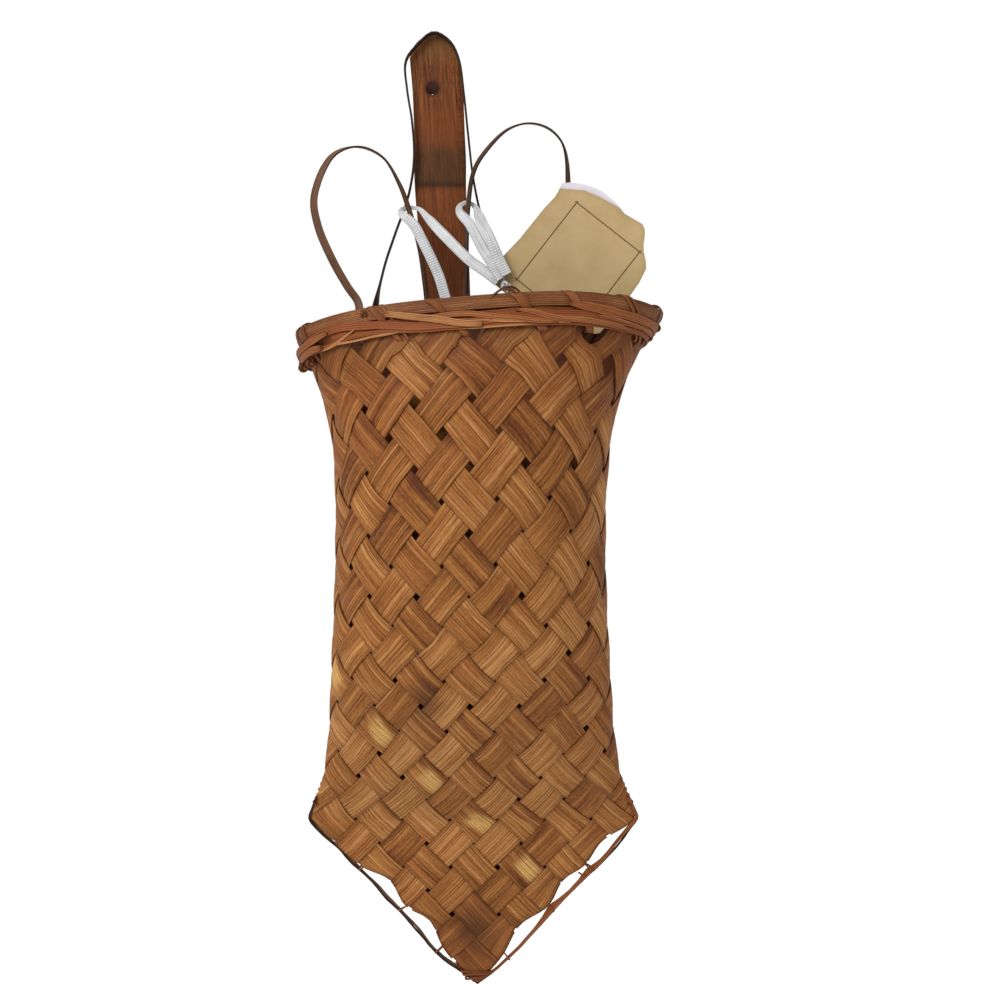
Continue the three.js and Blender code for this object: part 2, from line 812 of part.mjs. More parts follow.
function strandGeometry(side, phase) {
  const rings = spread(strandSteps + 1, (i) => {
    const t = i / strandSteps;
    const here = edgeCordLine(side, t);
    const tangent = edgeCordLine(side, t + probe).sub(edgeCordLine(side, t - probe)).normalize();
    const across = tangent.clone().cross(wallward).normalize();
    const deep = across.clone().cross(tangent).normalize();
    const turn = phase + t * edgeCordTurns * 2 * Math.PI;
    const centre = here.addScaledVector(across, edgeStrandSpread * Math.cos(turn));
    centre.addScaledVector(deep, edgeStrandSpread * Math.sin(turn));
    return spread(strandSides, (k) => {
      const angle = (k / strandSides) * 2 * Math.PI + turn;
      return centre
        .clone()
        .addScaledVector(across, edgeStrandRadius * Math.cos(angle))
        .addScaledVector(deep, edgeStrandRadius * Math.sin(angle));
    });
  });
  return ringBody(rings, false);
}

const sides = [
  ["left", -1],
  ["right", 1],
];

function addEdgeCords() {
  sides.forEach(([word, side]) => {
    ["a", "b"].forEach((letter, i) => {
      addPiece("edge_cord_" + word + "_" + letter, strandGeometry(side, i * Math.PI), splintFinish);
    });
    addPiece("corner_tie_" + word, cornerTieGeometry(side), loopFinish);
  });
  addPiece("tip_wrap", tipWrapGeometry(), loopFinish);
}

// A tie through the holes beside a lower corner, round the crease and the top of the edge cord.
function cornerTieGeometry(side) {
  const row = foldRows + halfCellRows;
  const [front, back] = [foldRows - halfCellRows, foldRows + halfCellRows].map((n) => surfacePoint(side * n, row));
  const crease = creasePoint(side, row);
  const wall = layerFace + clearance;
  const cordEdge = crease.x + side * (edgeCordSeat + edgeCordReach + clearance);
  const cordHalf = edgeCordReach + clearance;
  const ring = (grow) => {
    const out = grow ? cornerTieThickness : 0;
    const reach = side * (cornerTieThickness / 2 - out);
    const z = crease.z;
    return [
      vector(front.x + reach, front.y + wall - out, z),
      vector(back.x + reach, back.y - wall + out, z),
      vector(back.x + reach, back.y + wall + out, z),
      vector(cordEdge + side * out, crease.y + cordHalf + out, z),
      vector(cordEdge + side * out, crease.y - cordHalf - out, z),
      vector(front.x + reach, front.y - wall - out, z),
    ];
  };
  return bandRing(ring(false), ring(true), cornerTieThickness);
}

// A band round the point of the body and the ends of both cords.
const tipWrapSteps = 20;

function tipWrapGeometry() {
  const level = (height, grow) => {
    const row = (height * foldRows) / cornerHeight;
    const section = sectionAt(row);
    const edge = cornerHalfWidth * (height / cornerHeight);
    const a = edge + (edgeCordSeat + edgeCordReach) * Math.SQRT2 + clearance + grow;
    const b = section.points[0][1] + layerFace + clearance + grow;
    return spread(tipWrapSteps, (i) => {
      const angle = (i / tipWrapSteps) * 2 * Math.PI;
      const blunt = (v) => Math.sign(v) * Math.abs(v) ** tipWrapBluntShare;
      const x = bodyAxisX + section.sway + a * blunt(Math.cos(angle));
      return vector(x, section.centre + b * blunt(Math.sin(angle)), height - nailToTip);
    });
  };
  const [low, high] = [tipWrapRise, tipWrapRise + tipWrapHeight];
  const corners = [level(low, 0), level(high, 0), level(high, tipWrapThickness), level(low, tipWrapThickness)];
  const rings = spread(tipWrapSteps, (i) => corners.map((corner) => corner[i]));
  return ringBody(rings, true);
}

// Paper tag with its card behind, hung by a hole near one corner. Its own frame has the hole at the origin.
function tagOutline(shift) {
  const [left, low] = [-tagHoleEdge, -tagHoleFoot];
  const [right, high] = [left + tagWidth, low + tagLength];
  const c = tagChamfer;
  const corner = tagHoleChamfer;
  const outline = new THREE.Shape();
  const points = [
    [left + corner, low],
    [right - c, low],
    [right, low + c],
    [right, high - c],
    [right - c, high],
    [left + c, high],
    [left, high - c],
    [left, low + corner],
  ];
  points.forEach(([x, y], i) => (i ? outline.lineTo(x - shift, y + shift) : outline.moveTo(x - shift, y + shift)));
  outline.closePath();
  const hole = new THREE.Path();
  hole.absarc(0, 0, tagHoleRadius, 0, 2 * Math.PI, true);
  outline.holes.push(hole);
  return outline;
}

function addTag() {
  const yawed = new THREE.Group();
  yawed.position.copy(tagHolePlace);
  yawed.rotation.z = -tagYaw;
  const turned = new THREE.Group();
  turned.rotation.y = tagTurn;
  yawed.add(turned);
  basket.add(yawed);
  const sheet = (name, shift, thickness, back, material) => {
    const options = { depth: thickness, bevelEnabled: false, curveSegments: 8 };
    const geometry = new THREE.ExtrudeGeometry(tagOutline(shift), options).rotateX(Math.PI / 2);
    const mesh = new THREE.Mesh(geometry, material);
    mesh.name = name;
    mesh.position.y = back;
    turned.add(mesh);
  };
  sheet("hang_tag", 0, tagThickness, 0, paperFinish);
  sheet("backing_card", cardShift, cardThickness, clearance + cardThickness, cardFinish);
}

// Thread through the hole of the tag, with the knot of the ribbon on it.
const threadSteps = 22;
const threadSides = 6;

function threadGeometry() {
  const normal = vector(Math.sin(tagYaw), Math.cos(tagYaw), 0);
  const down = vector(Math.cos(tagYaw) * threadLean, -Math.sin(tagYaw) * threadLean, -1).normalize();
  const centre = tagHolePlace.clone().addScaledVector(down, threadReach);
  const at = (turn, grow, lift) => {
    const angle = turn * 2 * Math.PI;
    return centre
      .clone()
      .addScaledVector(down, -(threadReach + grow) * Math.cos(angle))
      .addScaledVector(normal, -(threadDepth + grow) * Math.sin(angle))
      .addScaledVector(down.clone().cross(normal), lift);
  };
  const rings = spread(threadSteps, (i) =>
    spread(threadSides, (k) => {
      const angle = (k / threadSides) * 2 * Math.PI;
      return at(i / threadSteps, tieThreadRadius * Math.cos(angle), tieThreadRadius * Math.sin(angle));
    }),
  );
  return { ring: ringBody(rings, true), knotPlace: at(0.25, 0, 0) };
}

function solidOf(geometry) {
  const bare = geometry.clone();
  bare.deleteAttribute("normal");
  bare.deleteAttribute("uv");
  const merged = mergeVertices(bare);
  const vertProperties = new Float32Array(merged.getAttribute("position").array);
  const triVerts = new Uint32Array(merged.getIndex().array);
  return new wasm.Manifold(new wasm.Mesh({ numProp: 3, vertProperties, triVerts }));
}

function geometryOf(solid) {
  const mesh = solid.getMesh();
  const geometry = new THREE.BufferGeometry();
  geometry.setAttribute("position", new THREE.BufferAttribute(mesh.vertProperties, 3));
  geometry.setIndex(new THREE.BufferAttribute(mesh.triVerts, 1));
  geometry.computeVertexNormals();
  return geometry;
}

function joined(first, second) {
  return geometryOf(solidOf(first).add(solidOf(second)));
}

function cut(body, tool) {
  return geometryOf(solidOf(body).subtract(solidOf(tool)));
}

function knotGeometry(place) {
  const knot = new THREE.SphereGeometry(knotRadius, 10, 6).scale(1, knotDepth / knotRadius, 1);
  return knot.translate(place.x, place.y, place.z);
}

// Curling ribbon: one strand round each of two loops, both down to the knot.
function ribbonGeometry(route) {
  const points = smoothRoute(route.map((p) => vector(...p)), ribbonSteps);
  const widthways = (tangent) => tangent.clone().cross(wallward);
  const depths = points.map((p) => p.y);
  const bend = depths.indexOf(Math.max(...depths)) / ribbonSteps;
  const gathered = (t) => Math.exp(-(((t - bend) / ribbonGatherReachShare) ** 2));
  const widthAt = (t) => ribbonWidth * (1 - ribbonGatherShare * gathered(t));
  return ringBody(stripRings(points, widthways, widthAt, ribbonThickness), false);
}

function addRibbon() {
  const { ring, knotPlace } = threadGeometry();
  addPiece("ribbon_knot", joined(ring, knotGeometry(knotPlace)), ribbonFinish);
  addPiece("ribbon_left", ribbonGeometry(leftRibbonRoute), ribbonFinish);
  addPiece("ribbon_right", ribbonGeometry(rightRibbonRoute), ribbonFinish);
}

addSplints();
addRim();
addSlat();
addSlatTies();
addLoops();
addEdgeCords();
addTag();
addRibbon();

export default basket;
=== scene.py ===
import json
import math

import bpy
import numpy as np
from mathutils.geometry import delaunay_2d_cdt
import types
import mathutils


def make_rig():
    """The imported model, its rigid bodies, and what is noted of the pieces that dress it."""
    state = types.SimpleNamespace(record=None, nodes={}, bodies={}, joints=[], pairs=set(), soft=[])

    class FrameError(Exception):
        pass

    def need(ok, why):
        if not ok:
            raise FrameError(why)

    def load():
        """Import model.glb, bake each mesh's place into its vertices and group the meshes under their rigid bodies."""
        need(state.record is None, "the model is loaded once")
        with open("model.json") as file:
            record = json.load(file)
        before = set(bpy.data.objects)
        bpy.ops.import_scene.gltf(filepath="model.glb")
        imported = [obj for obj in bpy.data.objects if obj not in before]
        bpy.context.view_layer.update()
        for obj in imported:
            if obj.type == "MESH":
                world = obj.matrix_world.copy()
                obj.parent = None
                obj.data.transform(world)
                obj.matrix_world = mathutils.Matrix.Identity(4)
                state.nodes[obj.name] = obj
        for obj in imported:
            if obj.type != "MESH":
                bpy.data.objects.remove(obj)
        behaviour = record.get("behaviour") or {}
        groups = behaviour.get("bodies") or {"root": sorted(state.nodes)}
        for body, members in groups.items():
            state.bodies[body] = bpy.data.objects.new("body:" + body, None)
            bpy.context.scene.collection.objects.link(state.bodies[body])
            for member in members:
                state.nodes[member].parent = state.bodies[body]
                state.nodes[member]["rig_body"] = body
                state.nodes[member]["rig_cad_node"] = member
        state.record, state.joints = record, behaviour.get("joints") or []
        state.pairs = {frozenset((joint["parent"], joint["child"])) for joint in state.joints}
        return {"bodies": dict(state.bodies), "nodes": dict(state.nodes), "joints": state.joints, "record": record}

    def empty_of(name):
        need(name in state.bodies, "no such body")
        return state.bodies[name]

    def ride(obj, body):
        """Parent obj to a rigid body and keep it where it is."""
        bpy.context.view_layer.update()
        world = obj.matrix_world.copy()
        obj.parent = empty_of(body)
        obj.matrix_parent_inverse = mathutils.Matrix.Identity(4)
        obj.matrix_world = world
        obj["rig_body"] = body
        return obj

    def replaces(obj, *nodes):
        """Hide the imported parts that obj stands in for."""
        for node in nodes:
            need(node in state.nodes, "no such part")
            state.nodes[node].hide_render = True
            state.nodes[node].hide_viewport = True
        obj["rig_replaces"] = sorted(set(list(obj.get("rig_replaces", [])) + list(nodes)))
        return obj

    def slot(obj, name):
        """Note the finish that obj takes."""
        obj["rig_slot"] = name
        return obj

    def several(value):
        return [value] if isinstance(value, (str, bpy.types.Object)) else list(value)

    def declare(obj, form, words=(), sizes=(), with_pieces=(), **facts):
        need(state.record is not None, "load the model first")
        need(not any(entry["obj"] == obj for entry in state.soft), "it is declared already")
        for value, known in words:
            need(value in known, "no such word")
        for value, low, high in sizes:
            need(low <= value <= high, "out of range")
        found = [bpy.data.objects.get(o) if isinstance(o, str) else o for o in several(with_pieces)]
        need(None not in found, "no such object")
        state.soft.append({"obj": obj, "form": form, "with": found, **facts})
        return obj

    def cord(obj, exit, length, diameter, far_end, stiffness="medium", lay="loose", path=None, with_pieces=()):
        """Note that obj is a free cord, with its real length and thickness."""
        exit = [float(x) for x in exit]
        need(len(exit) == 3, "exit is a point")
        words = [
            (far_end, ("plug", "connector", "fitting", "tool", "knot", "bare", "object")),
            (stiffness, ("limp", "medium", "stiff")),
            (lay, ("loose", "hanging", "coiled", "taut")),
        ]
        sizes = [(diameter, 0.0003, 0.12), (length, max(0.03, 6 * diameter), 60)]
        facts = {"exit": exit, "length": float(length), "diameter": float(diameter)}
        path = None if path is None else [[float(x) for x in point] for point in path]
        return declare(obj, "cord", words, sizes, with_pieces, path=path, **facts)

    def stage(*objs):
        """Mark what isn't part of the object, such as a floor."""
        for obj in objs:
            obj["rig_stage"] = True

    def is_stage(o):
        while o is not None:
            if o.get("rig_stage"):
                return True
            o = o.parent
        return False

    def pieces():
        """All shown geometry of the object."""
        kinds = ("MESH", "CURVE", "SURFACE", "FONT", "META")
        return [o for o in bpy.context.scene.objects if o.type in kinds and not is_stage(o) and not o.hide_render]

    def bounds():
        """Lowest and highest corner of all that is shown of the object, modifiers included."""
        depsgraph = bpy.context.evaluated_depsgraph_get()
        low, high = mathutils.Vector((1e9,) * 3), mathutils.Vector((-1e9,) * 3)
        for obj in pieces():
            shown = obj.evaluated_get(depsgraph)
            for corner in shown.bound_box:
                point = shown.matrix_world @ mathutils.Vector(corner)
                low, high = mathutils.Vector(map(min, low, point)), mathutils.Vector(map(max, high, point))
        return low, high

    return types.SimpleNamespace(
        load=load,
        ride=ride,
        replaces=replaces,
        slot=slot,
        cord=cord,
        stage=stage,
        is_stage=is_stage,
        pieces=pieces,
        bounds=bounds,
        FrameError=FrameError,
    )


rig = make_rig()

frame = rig.load()
cad_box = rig.bounds()

# Places and sizes below are in millimetres, in the frame's own axes, and meshes are made in metres.
MM = 0.001


# Camera at the photograph's viewing angle
CAMERA_PLACE = (31.4, -900, -191.1)
FOCAL_PIXELS = 1932
FRAME_PIXELS = 1000
SENSOR_WIDTH = 36


def link(name, data):
    """A new object in the scene, with its data."""
    obj = bpy.data.objects.new(name, data)
    bpy.context.scene.collection.objects.link(obj)
    return obj


camera_data = bpy.data.cameras.new("camera")
camera_data.sensor_width = SENSOR_WIDTH
camera_data.lens = FOCAL_PIXELS * SENSOR_WIDTH / FRAME_PIXELS
camera = link("camera", camera_data)
camera.location = [v * MM for v in CAMERA_PLACE]
camera.rotation_euler = (math.pi / 2, 0, 0)
bpy.context.scene.camera = camera

TOWARDS_WALL = np.array([0.0, 1.0, 0.0])
# Values that keep a division from meeting zero
LEAST_LENGTH = 1e-9
LEAST_GAP = 1e-6
SPAN_STEPS = 16
# Steps of the scattered values, which only need to be large and uneven
SCATTER_SCALE = 43758.5453
SCATTER_STEP = 12.9898
SCATTER_ROW_STEP = 78.233
# How far apart the grain of two pieces lies in the materials' patterns
GRAIN_SHIFT = 3.7
GRAIN_DEPTH = 1.7


# Curves and values
def smooth(t):
    s = np.clip(t, 0, 1)
    return s * s * (3 - 2 * s)


def bell(t):
    return np.exp(-(t**2))


def scatter(t):
    """A value of 0 to 1 that jumps about with t."""
    value = np.sin(t) * SCATTER_SCALE
    return value - np.floor(value)


def angles(count):
    return np.linspace(0, 2 * math.pi, count, endpoint=False)


def unit(v):
    return v / np.maximum(np.linalg.norm(v, axis=-1, keepdims=True), LEAST_LENGTH)


def wander(seed, t, waves=4, longest=1.0):
    """A smooth wandering value of about -1 to 1 along t."""
    random = np.random.default_rng(seed)
    total = 0
    for k in range(waves):
        phase = random.uniform(0, 2 * math.pi)
        total = total + np.sin((k + 1) * 2 * math.pi * t / longest + phase) / (k + 1) ** 0.5
    return total / waves**0.5


def path_lengths(path):
    return np.concatenate([[0], np.cumsum(np.linalg.norm(np.diff(path, axis=0), axis=1))])


def spline(points, steps, closed=False):
    """Evenly spaced points on a centripetal Catmull-Rom curve."""
    p = np.asarray(points, float)
    if closed:
        p = np.concatenate([p[-1:], p, p[:2]])
    else:
        p = np.concatenate([[2 * p[0] - p[1]], p, [2 * p[-1] - p[-2]]])
    pieces = []
    for a, b, c, d in zip(p, p[1:], p[2:], p[3:]):
        gaps = [max(np.linalg.norm(n - m), LEAST_GAP) ** 0.5 for m, n in ((a, b), (b, c), (c, d))]
        k1, k2, k3 = np.cumsum(gaps)
        t = np.linspace(k1, k2, SPAN_STEPS, endpoint=False)[:, None]
        ab = (k1 - t) / k1 * a + t / k1 * b
        bc = (k2 - t) / (k2 - k1) * b + (t - k1) / (k2 - k1) * c
        cd = (k3 - t) / (k3 - k2) * c + (t - k2) / (k3 - k2) * d
        low = (k2 - t) / k2 * ab + t / k2 * bc
        high = (k3 - t) / (k3 - k1) * bc + (t - k1) / (k3 - k1) * cd
        pieces.append((k2 - t) / (k2 - k1) * low + (t - k1) / (k2 - k1) * high)
    dense = np.concatenate(pieces + [p[-2:-1]])
    lengths = path_lengths(dense)
    even = np.linspace(0, lengths[-1], steps + 1)
    even = even[:-1] if closed else even
    return np.stack([np.interp(even, lengths, column) for column in dense.T], 1)


# Form of the woven body: the middle surface of its wall, as in the part's source
NAIL_TO_TIP = 415
AXIS_X = 21.7
CORNER_HEIGHT = 78
RIM_HEIGHT = 297
CORNER_HALF_WIDTH = 75.4
CORNER_BULGE = 6
FOLDED_HALF_GAP = 1.35
SPLINTS_ROUND = 14
HALF_ROUND = SPLINTS_ROUND / 2
FOLD_ROWS = SPLINTS_ROUND / 4
WEAVE_ROWS = 12.5
LASHING_ROWS = 12
ROUND_ROWS = 7
RIM_MEAN_RISE = 6.1
RIM_FRONT_RISE = 4.3
RIM_OVAL_RISE = 1.9
RIM_THIRD_RISE = -1.3
RIM_SIDE_RISE = 4.7
WALL_SEAT = 4.17
RIM_SEAT = 7.22
SEAT_START_ROWS = 10.5
SEAT_ROWS = 2
ROW_STRETCH_SHARE = 0.1
STATION_HEIGHTS = [78, 104, 150, 212, 252, 275, 297]
HALF_WIDTHS = [75.4, 66, 61.3, 58.7, 61.4, 68.6, 78]
HALF_DEPTHS = [7.35, 19, 35, 44, 46, 44, 41]
SWAYS = [-0.9, -2.5, -3, -3.3, -3.2, -2.2, -1.2, 0.6]
SECTION_STEPS = 64
PROBE = 0.02


def row_height(row):
    t = (row - FOLD_ROWS) / (WEAVE_ROWS - FOLD_ROWS)
    stretched = t * (1 - ROW_STRETCH_SHARE) + ROW_STRETCH_SHARE * t * t
    upper = CORNER_HEIGHT + (RIM_HEIGHT - CORNER_HEIGHT) * stretched
    return np.where(row <= FOLD_ROWS, CORNER_HEIGHT * row / FOLD_ROWS, upper)


def through(places, values, at):
    """A smooth curve through values at places."""
    places = np.asarray(places, float)
    values = np.asarray(values, float)
    last = len(places) - 1
    i = np.clip(np.searchsorted(places, at) - 1, 0, last - 1)
    before = np.maximum(i - 1, 0)
    after = np.minimum(i + 2, last)
    start = (values[i + 1] - values[before]) / (places[i + 1] - places[before])
    end = (values[after] - values[i]) / (places[after] - places[i])
    span = places[i + 1] - places[i]
    t = np.clip((at - places[i]) / span, 0, 1)
    near = (1 - t) ** 2 * (1 + 2 * t) * values[i] + t * t * (3 - 2 * t) * values[i + 1]
    return near + t * (1 - t) * span * ((1 - t) * start - t * end)


def section_values(row):
    """Height, half width, half depth and depth of the middle of the body's section at a row."""
    height = row_height(row)
    share = height / CORNER_HEIGHT
    a = np.where(row <= FOLD_ROWS, CORNER_HALF_WIDTH * share, through(STATION_HEIGHTS, HALF_WIDTHS, height))
    folded_depth = FOLDED_HALF_GAP + CORNER_BULGE * share
    b = np.where(row <= FOLD_ROWS, folded_depth, through(STATION_HEIGHTS, HALF_DEPTHS, height))
    seat = WALL_SEAT + (RIM_SEAT - WALL_SEAT) * smooth((row - SEAT_START_ROWS) / SEAT_ROWS)
    return height, a, b, -(seat + b)


def sway_at(height):
    """How far the body leans to one side at a height above its tip."""
    return through([0] + STATION_HEIGHTS, SWAYS, height)


def from_front(around):
    """An amount around, counted from the middle of the front and not more than half way round."""
    return (around + HALF_ROUND) % SPLINTS_ROUND - HALF_ROUND


def surface_point(around, row):
    """Middle of the wall. Around counts splints from the middle of the front, towards +X."""
    around, row = np.broadcast_arrays(np.asarray(around, float), np.asarray(row, float))
    shape = around.shape
    around = around.ravel()
    row = row.ravel()
    height, a, b, centre = section_values(row)
    # Quarter of the section: straight sided where the body is folded flat, and oval above
    rounded = smooth(row - FOLD_ROWS)[:, None]
    s = np.linspace(0, 1, SECTION_STEPS + 1)[None, :]
    flat = FOLDED_HALF_GAP * (1 - rounded)
    x = a[:, None] * (s * (1 - rounded) + np.sin(s * math.pi / 2) * rounded)
    bowed = flat + (b[:, None] - flat) * (1 - s * s)
    y = bowed * (1 - rounded) + b[:, None] * np.cos(s * math.pi / 2) * rounded
    steps = np.hypot(np.diff(x, axis=1), np.diff(y, axis=1))
    lengths = np.concatenate([np.zeros((len(row), 1)), np.cumsum(steps, axis=1)], axis=1)
    turned = from_front(around)
    side = np.where(turned < 0, -1.0, 1.0)
    distance = np.abs(turned)
    behind = distance > FOLD_ROWS
    distance = np.where(behind, HALF_ROUND - distance, distance)
    quarter = np.where(row <= FOLD_ROWS, np.maximum(row, LEAST_GAP), FOLD_ROWS)
    wanted = np.minimum(distance / quarter, 1) * lengths[:, -1]
    i = np.clip((lengths < wanted[:, None]).sum(axis=1), 1, SECTION_STEPS)
    n = np.arange(len(row))
    t = (wanted - lengths[n, i - 1]) / np.maximum(lengths[n, i] - lengths[n, i - 1], LEAST_LENGTH)
    px, py = (v[n, i - 1] * (1 - t) + v[n, i] * t for v in (x, y))
    # Wave of the rim, and lean of the body
    turn = turned / SPLINTS_ROUND * 2 * math.pi
    tilt = RIM_FRONT_RISE * np.cos(turn) + RIM_SIDE_RISE * np.sin(turn)
    waves = RIM_OVAL_RISE * np.cos(2 * turn) + RIM_THIRD_RISE * np.cos(3 * turn)
    lift = (RIM_MEAN_RISE + tilt + waves) * smooth((row - ROUND_ROWS) / (WEAVE_ROWS - ROUND_ROWS))
    sway = sway_at(height) * np.where(behind, (px / x[:, -1]) ** 2, 1)
    place = (AXIS_X + side * px + sway, centre + np.where(behind, py, -py), height + lift - NAIL_TO_TIP)
    return np.stack(place, axis=1).reshape(shape + (3,))


def surface_normal(around, row):
    across = surface_point(around + PROBE, row) - surface_point(around - PROBE, row)
    along = surface_point(around, row + PROBE) - surface_point(around, row - PROBE)
    return unit(np.cross(across, along))


def wall_point(around, row, outwards):
    return surface_point(around, row) + surface_normal(around, row) * np.asarray(outwards, float)[..., None]


def crease_point(side, row):
    point = surface_point(side * np.minimum(row, FOLD_ROWS), row)
    point[..., 1] = section_values(np.asarray(row, float))[3]
    return point


RIM_ROW_RISE = float(row_height(np.array(WEAVE_ROWS)) - row_height(np.array(WEAVE_ROWS - 1)))


def rim_row(height):
    """Row of the weave at a height on the rim, counted in millimetres above the lashing's holes."""
    return LASHING_ROWS + np.asarray(height, float) / RIM_ROW_RISE


# Meshes
class Form:
    """Closed bodies that make one mesh, with the values that its material reads at each point."""

    VALUES = ("grain", "tone", "cast")

    def __init__(self):
        self.points = []
        self.faces = []
        self.values = []

    def add(self, points, faces, *values):
        """One body. Its grain, tone and cast are three parts each, and a part is a number or an array."""
        start = sum(map(len, self.points))
        shape = points.shape[:-1]
        parts = [np.stack([np.broadcast_to(part, shape) for part in value], -1) for value in values]
        points = points.reshape(-1, 3)
        self.faces += [tuple(i + start for i in face) for face in outward(points, faces)]
        self.points.append(points)
        self.values.append([part.reshape(-1, 3) for part in parts])

    def add_rings(self, points, closed, *values):
        """A body of rings of points, whose ends are shut if it isn't closed on itself."""
        self.add(points, ring_faces(*points.shape[:2], closed), *values)

    def keep(self, node, word, material, slot, body="basket", crisp=None, stands=True):
        """Makes the visible piece, with its material slot, its body and the node that it stands for."""
        name = f"{node}_{word}"
        mesh = bpy.data.meshes.new(name)
        mesh.from_pydata((np.concatenate(self.points) * MM).tolist(), [], self.faces)
        mesh.polygons.foreach_set("use_smooth", np.ones(len(mesh.polygons), bool))
        for value, parts in zip(self.VALUES, zip(*self.values)):
            layer = mesh.attributes.new(value, "FLOAT_VECTOR", "POINT")
            layer.data.foreach_set("vector", np.concatenate(parts).astype(np.float32).ravel())
        if crisp is not None:
            mesh.set_sharp_from_angle(angle=math.radians(crisp))
        mesh.materials.append(material)
        obj = link(name, mesh)
        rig.slot(obj, slot)
        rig.ride(obj, body)
        if stands:
            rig.replaces(obj, node)
        return obj


def outward(points, faces):
    """Faces that all point outwards, told by the sign of the volume that they enclose."""
    volume = 0
    middle = points.mean(axis=0)
    for size in {len(face) for face in faces}:
        index = np.array([face for face in faces if len(face) == size])
        corner = points[index] - middle
        for i in range(1, size - 1):
            volume += np.einsum("ij,ij->", corner[:, 0], np.cross(corner[:, i], corner[:, i + 1]))
    if volume < 0:
        return [tuple(reversed(face)) for face in faces]
    return faces


def ring_faces(rings, size, closed):
    """Quads between rings of a body, and end faces on one that is open."""
    faces = []
    for r in range(rings if closed else rings - 1):
        a = r * size
        b = ((r + 1) % rings) * size
        faces += [(a + k, a + (k + 1) % size, b + (k + 1) % size, b + k) for k in range(size)]
    if not closed:
        faces += [tuple(range(size)), tuple(range((rings - 1) * size, rings * size))]
    return faces


def tangents(path, closed):
    if closed:
        return unit(np.roll(path, -1, axis=0) - np.roll(path, 1, axis=0))
    return unit(np.gradient(path, axis=0))


def interleave(grooves, left, right):
    """Values along a section: one in each groove, and one at each edge of the sliver after it."""
    values = np.empty(3 * len(grooves) - 2)
    values[0::3] = grooves
    values[1::3] = left
    values[2::3] = right
    return values


class Splint:
    """Section of a splint: slivers parted by narrow grooves on its face, and a plain back."""

    BACK = 4
    BACK_TONE = 0.7
    GROOVE_SHARE = 0.2

    def __init__(self, seed, slivers, ridge=0.09, crown=0.0, jitter=0.22):
        random = np.random.default_rng(seed)
        edges = np.arange(slivers + 1) + random.uniform(-jitter, jitter, slivers + 1)
        edges[[0, -1]] = [0, slivers]
        edges /= slivers
        groove = self.GROOVE_SHARE * np.diff(edges)
        level = ridge * random.uniform(-0.45, 0.35, slivers)
        lean = ridge * random.uniform(-0.25, 0.25, slivers)
        deep = random.uniform(0.35, 1.3, slivers + 1)
        shades = random.uniform(-1, 1, slivers)
        between = np.concatenate([shades[:1], (shades[:-1] + shades[1:]) / 2, shades[-1:]])
        face = interleave(edges, edges[:-1] + groove, edges[1:] - groove)
        self.depth = interleave(-ridge * deep, level - lean, level + lean)
        self.depth[[0, -1]] = -2 * ridge
        self.depth += crown * (1 - (2 * face - 1) ** 2)
        self.across = np.concatenate([face, np.linspace(1, 0, self.BACK)])
        self.shade = np.concatenate([interleave(between, shades, shades), np.zeros(self.BACK)])
        # Groove values for the painted shade in the grooves: below 1 the face is mixed towards the dark colour
        ridged = interleave(1 - np.clip(deep, 0, 1), 1, 1)
        self.ridged = np.concatenate([ridged, np.full(self.BACK, self.BACK_TONE)])
        self.size = len(self.across)

    def heights(self, thickness):
        """Heights of the section's points above the splint's middle, for a thickness or an array of them."""
        half = np.asarray(thickness, float)[..., None] / 2
        return np.concatenate([half + self.depth, np.repeat(-half, self.BACK, axis=-1)], axis=-1)


def add_strip(form, path, widthways, width, thickness, splint, seed, tone=0.5, cast=(0, 0, 0), closed=False):
    """A splint along a path, its width laid along widthways."""
    tangent = tangents(path, closed)
    square = unit(widthways - (widthways * tangent).sum(1, keepdims=True) * tangent)
    face = np.cross(tangent, square)
    heights = splint.heights(np.broadcast_to(thickness, len(path)))
    sideways = (splint.across - 0.5) * np.broadcast_to(width, len(path))[:, None]
    points = path[:, None] + sideways[..., None] * square[:, None] + heights[..., None] * face[:, None]
    along = path_lengths(path)[:, None]
    value = tone + 0.12 * splint.shade + 0.08 * wander(seed + 50, along, 4, 70)
    grain = (sideways + seed * GRAIN_SHIFT, along, seed * GRAIN_DEPTH)
    form.add_rings(points, closed, grain, (value, 0, splint.ridged), cast)


def add_tube(form, path, radius, seed, sides=8, tone=0.5, cast=(0, 0, 0), closed=False, squeeze=1.0):
    """A round or flattened strand along a path, a little uneven."""
    tangent = tangents(path, closed)
    across = unit(np.cross(tangent, TOWARDS_WALL) + 1e-4)
    deep = np.cross(across, tangent)
    along = path_lengths(path)[:, None]
    angle = angles(sides)
    reach = radius * (1 + 0.1 * wander(seed, along + angle * 2, 3, 14))
    sideways = reach * np.cos(angle)
    inwards = reach * np.sin(angle) * squeeze
    points = path[:, None] + sideways[..., None] * across[:, None] + inwards[..., None] * deep[:, None]
    value = tone + 0.1 * wander(seed + 9, along, 4, 25)
    form.add_rings(points, closed, (angle + seed * GRAIN_SHIFT, along, seed), (value, 0, 1), cast)


# Materials
def srgb(red, green, blue):
    """Linear colour of an 8-bit one, as Blender's colour sockets hold it."""
    values = [v / 255 for v in (red, green, blue)]
    return [v / 12.92 if v <= 0.04045 else ((v + 0.055) / 1.055) ** 2.4 for v in values] + [1.0]


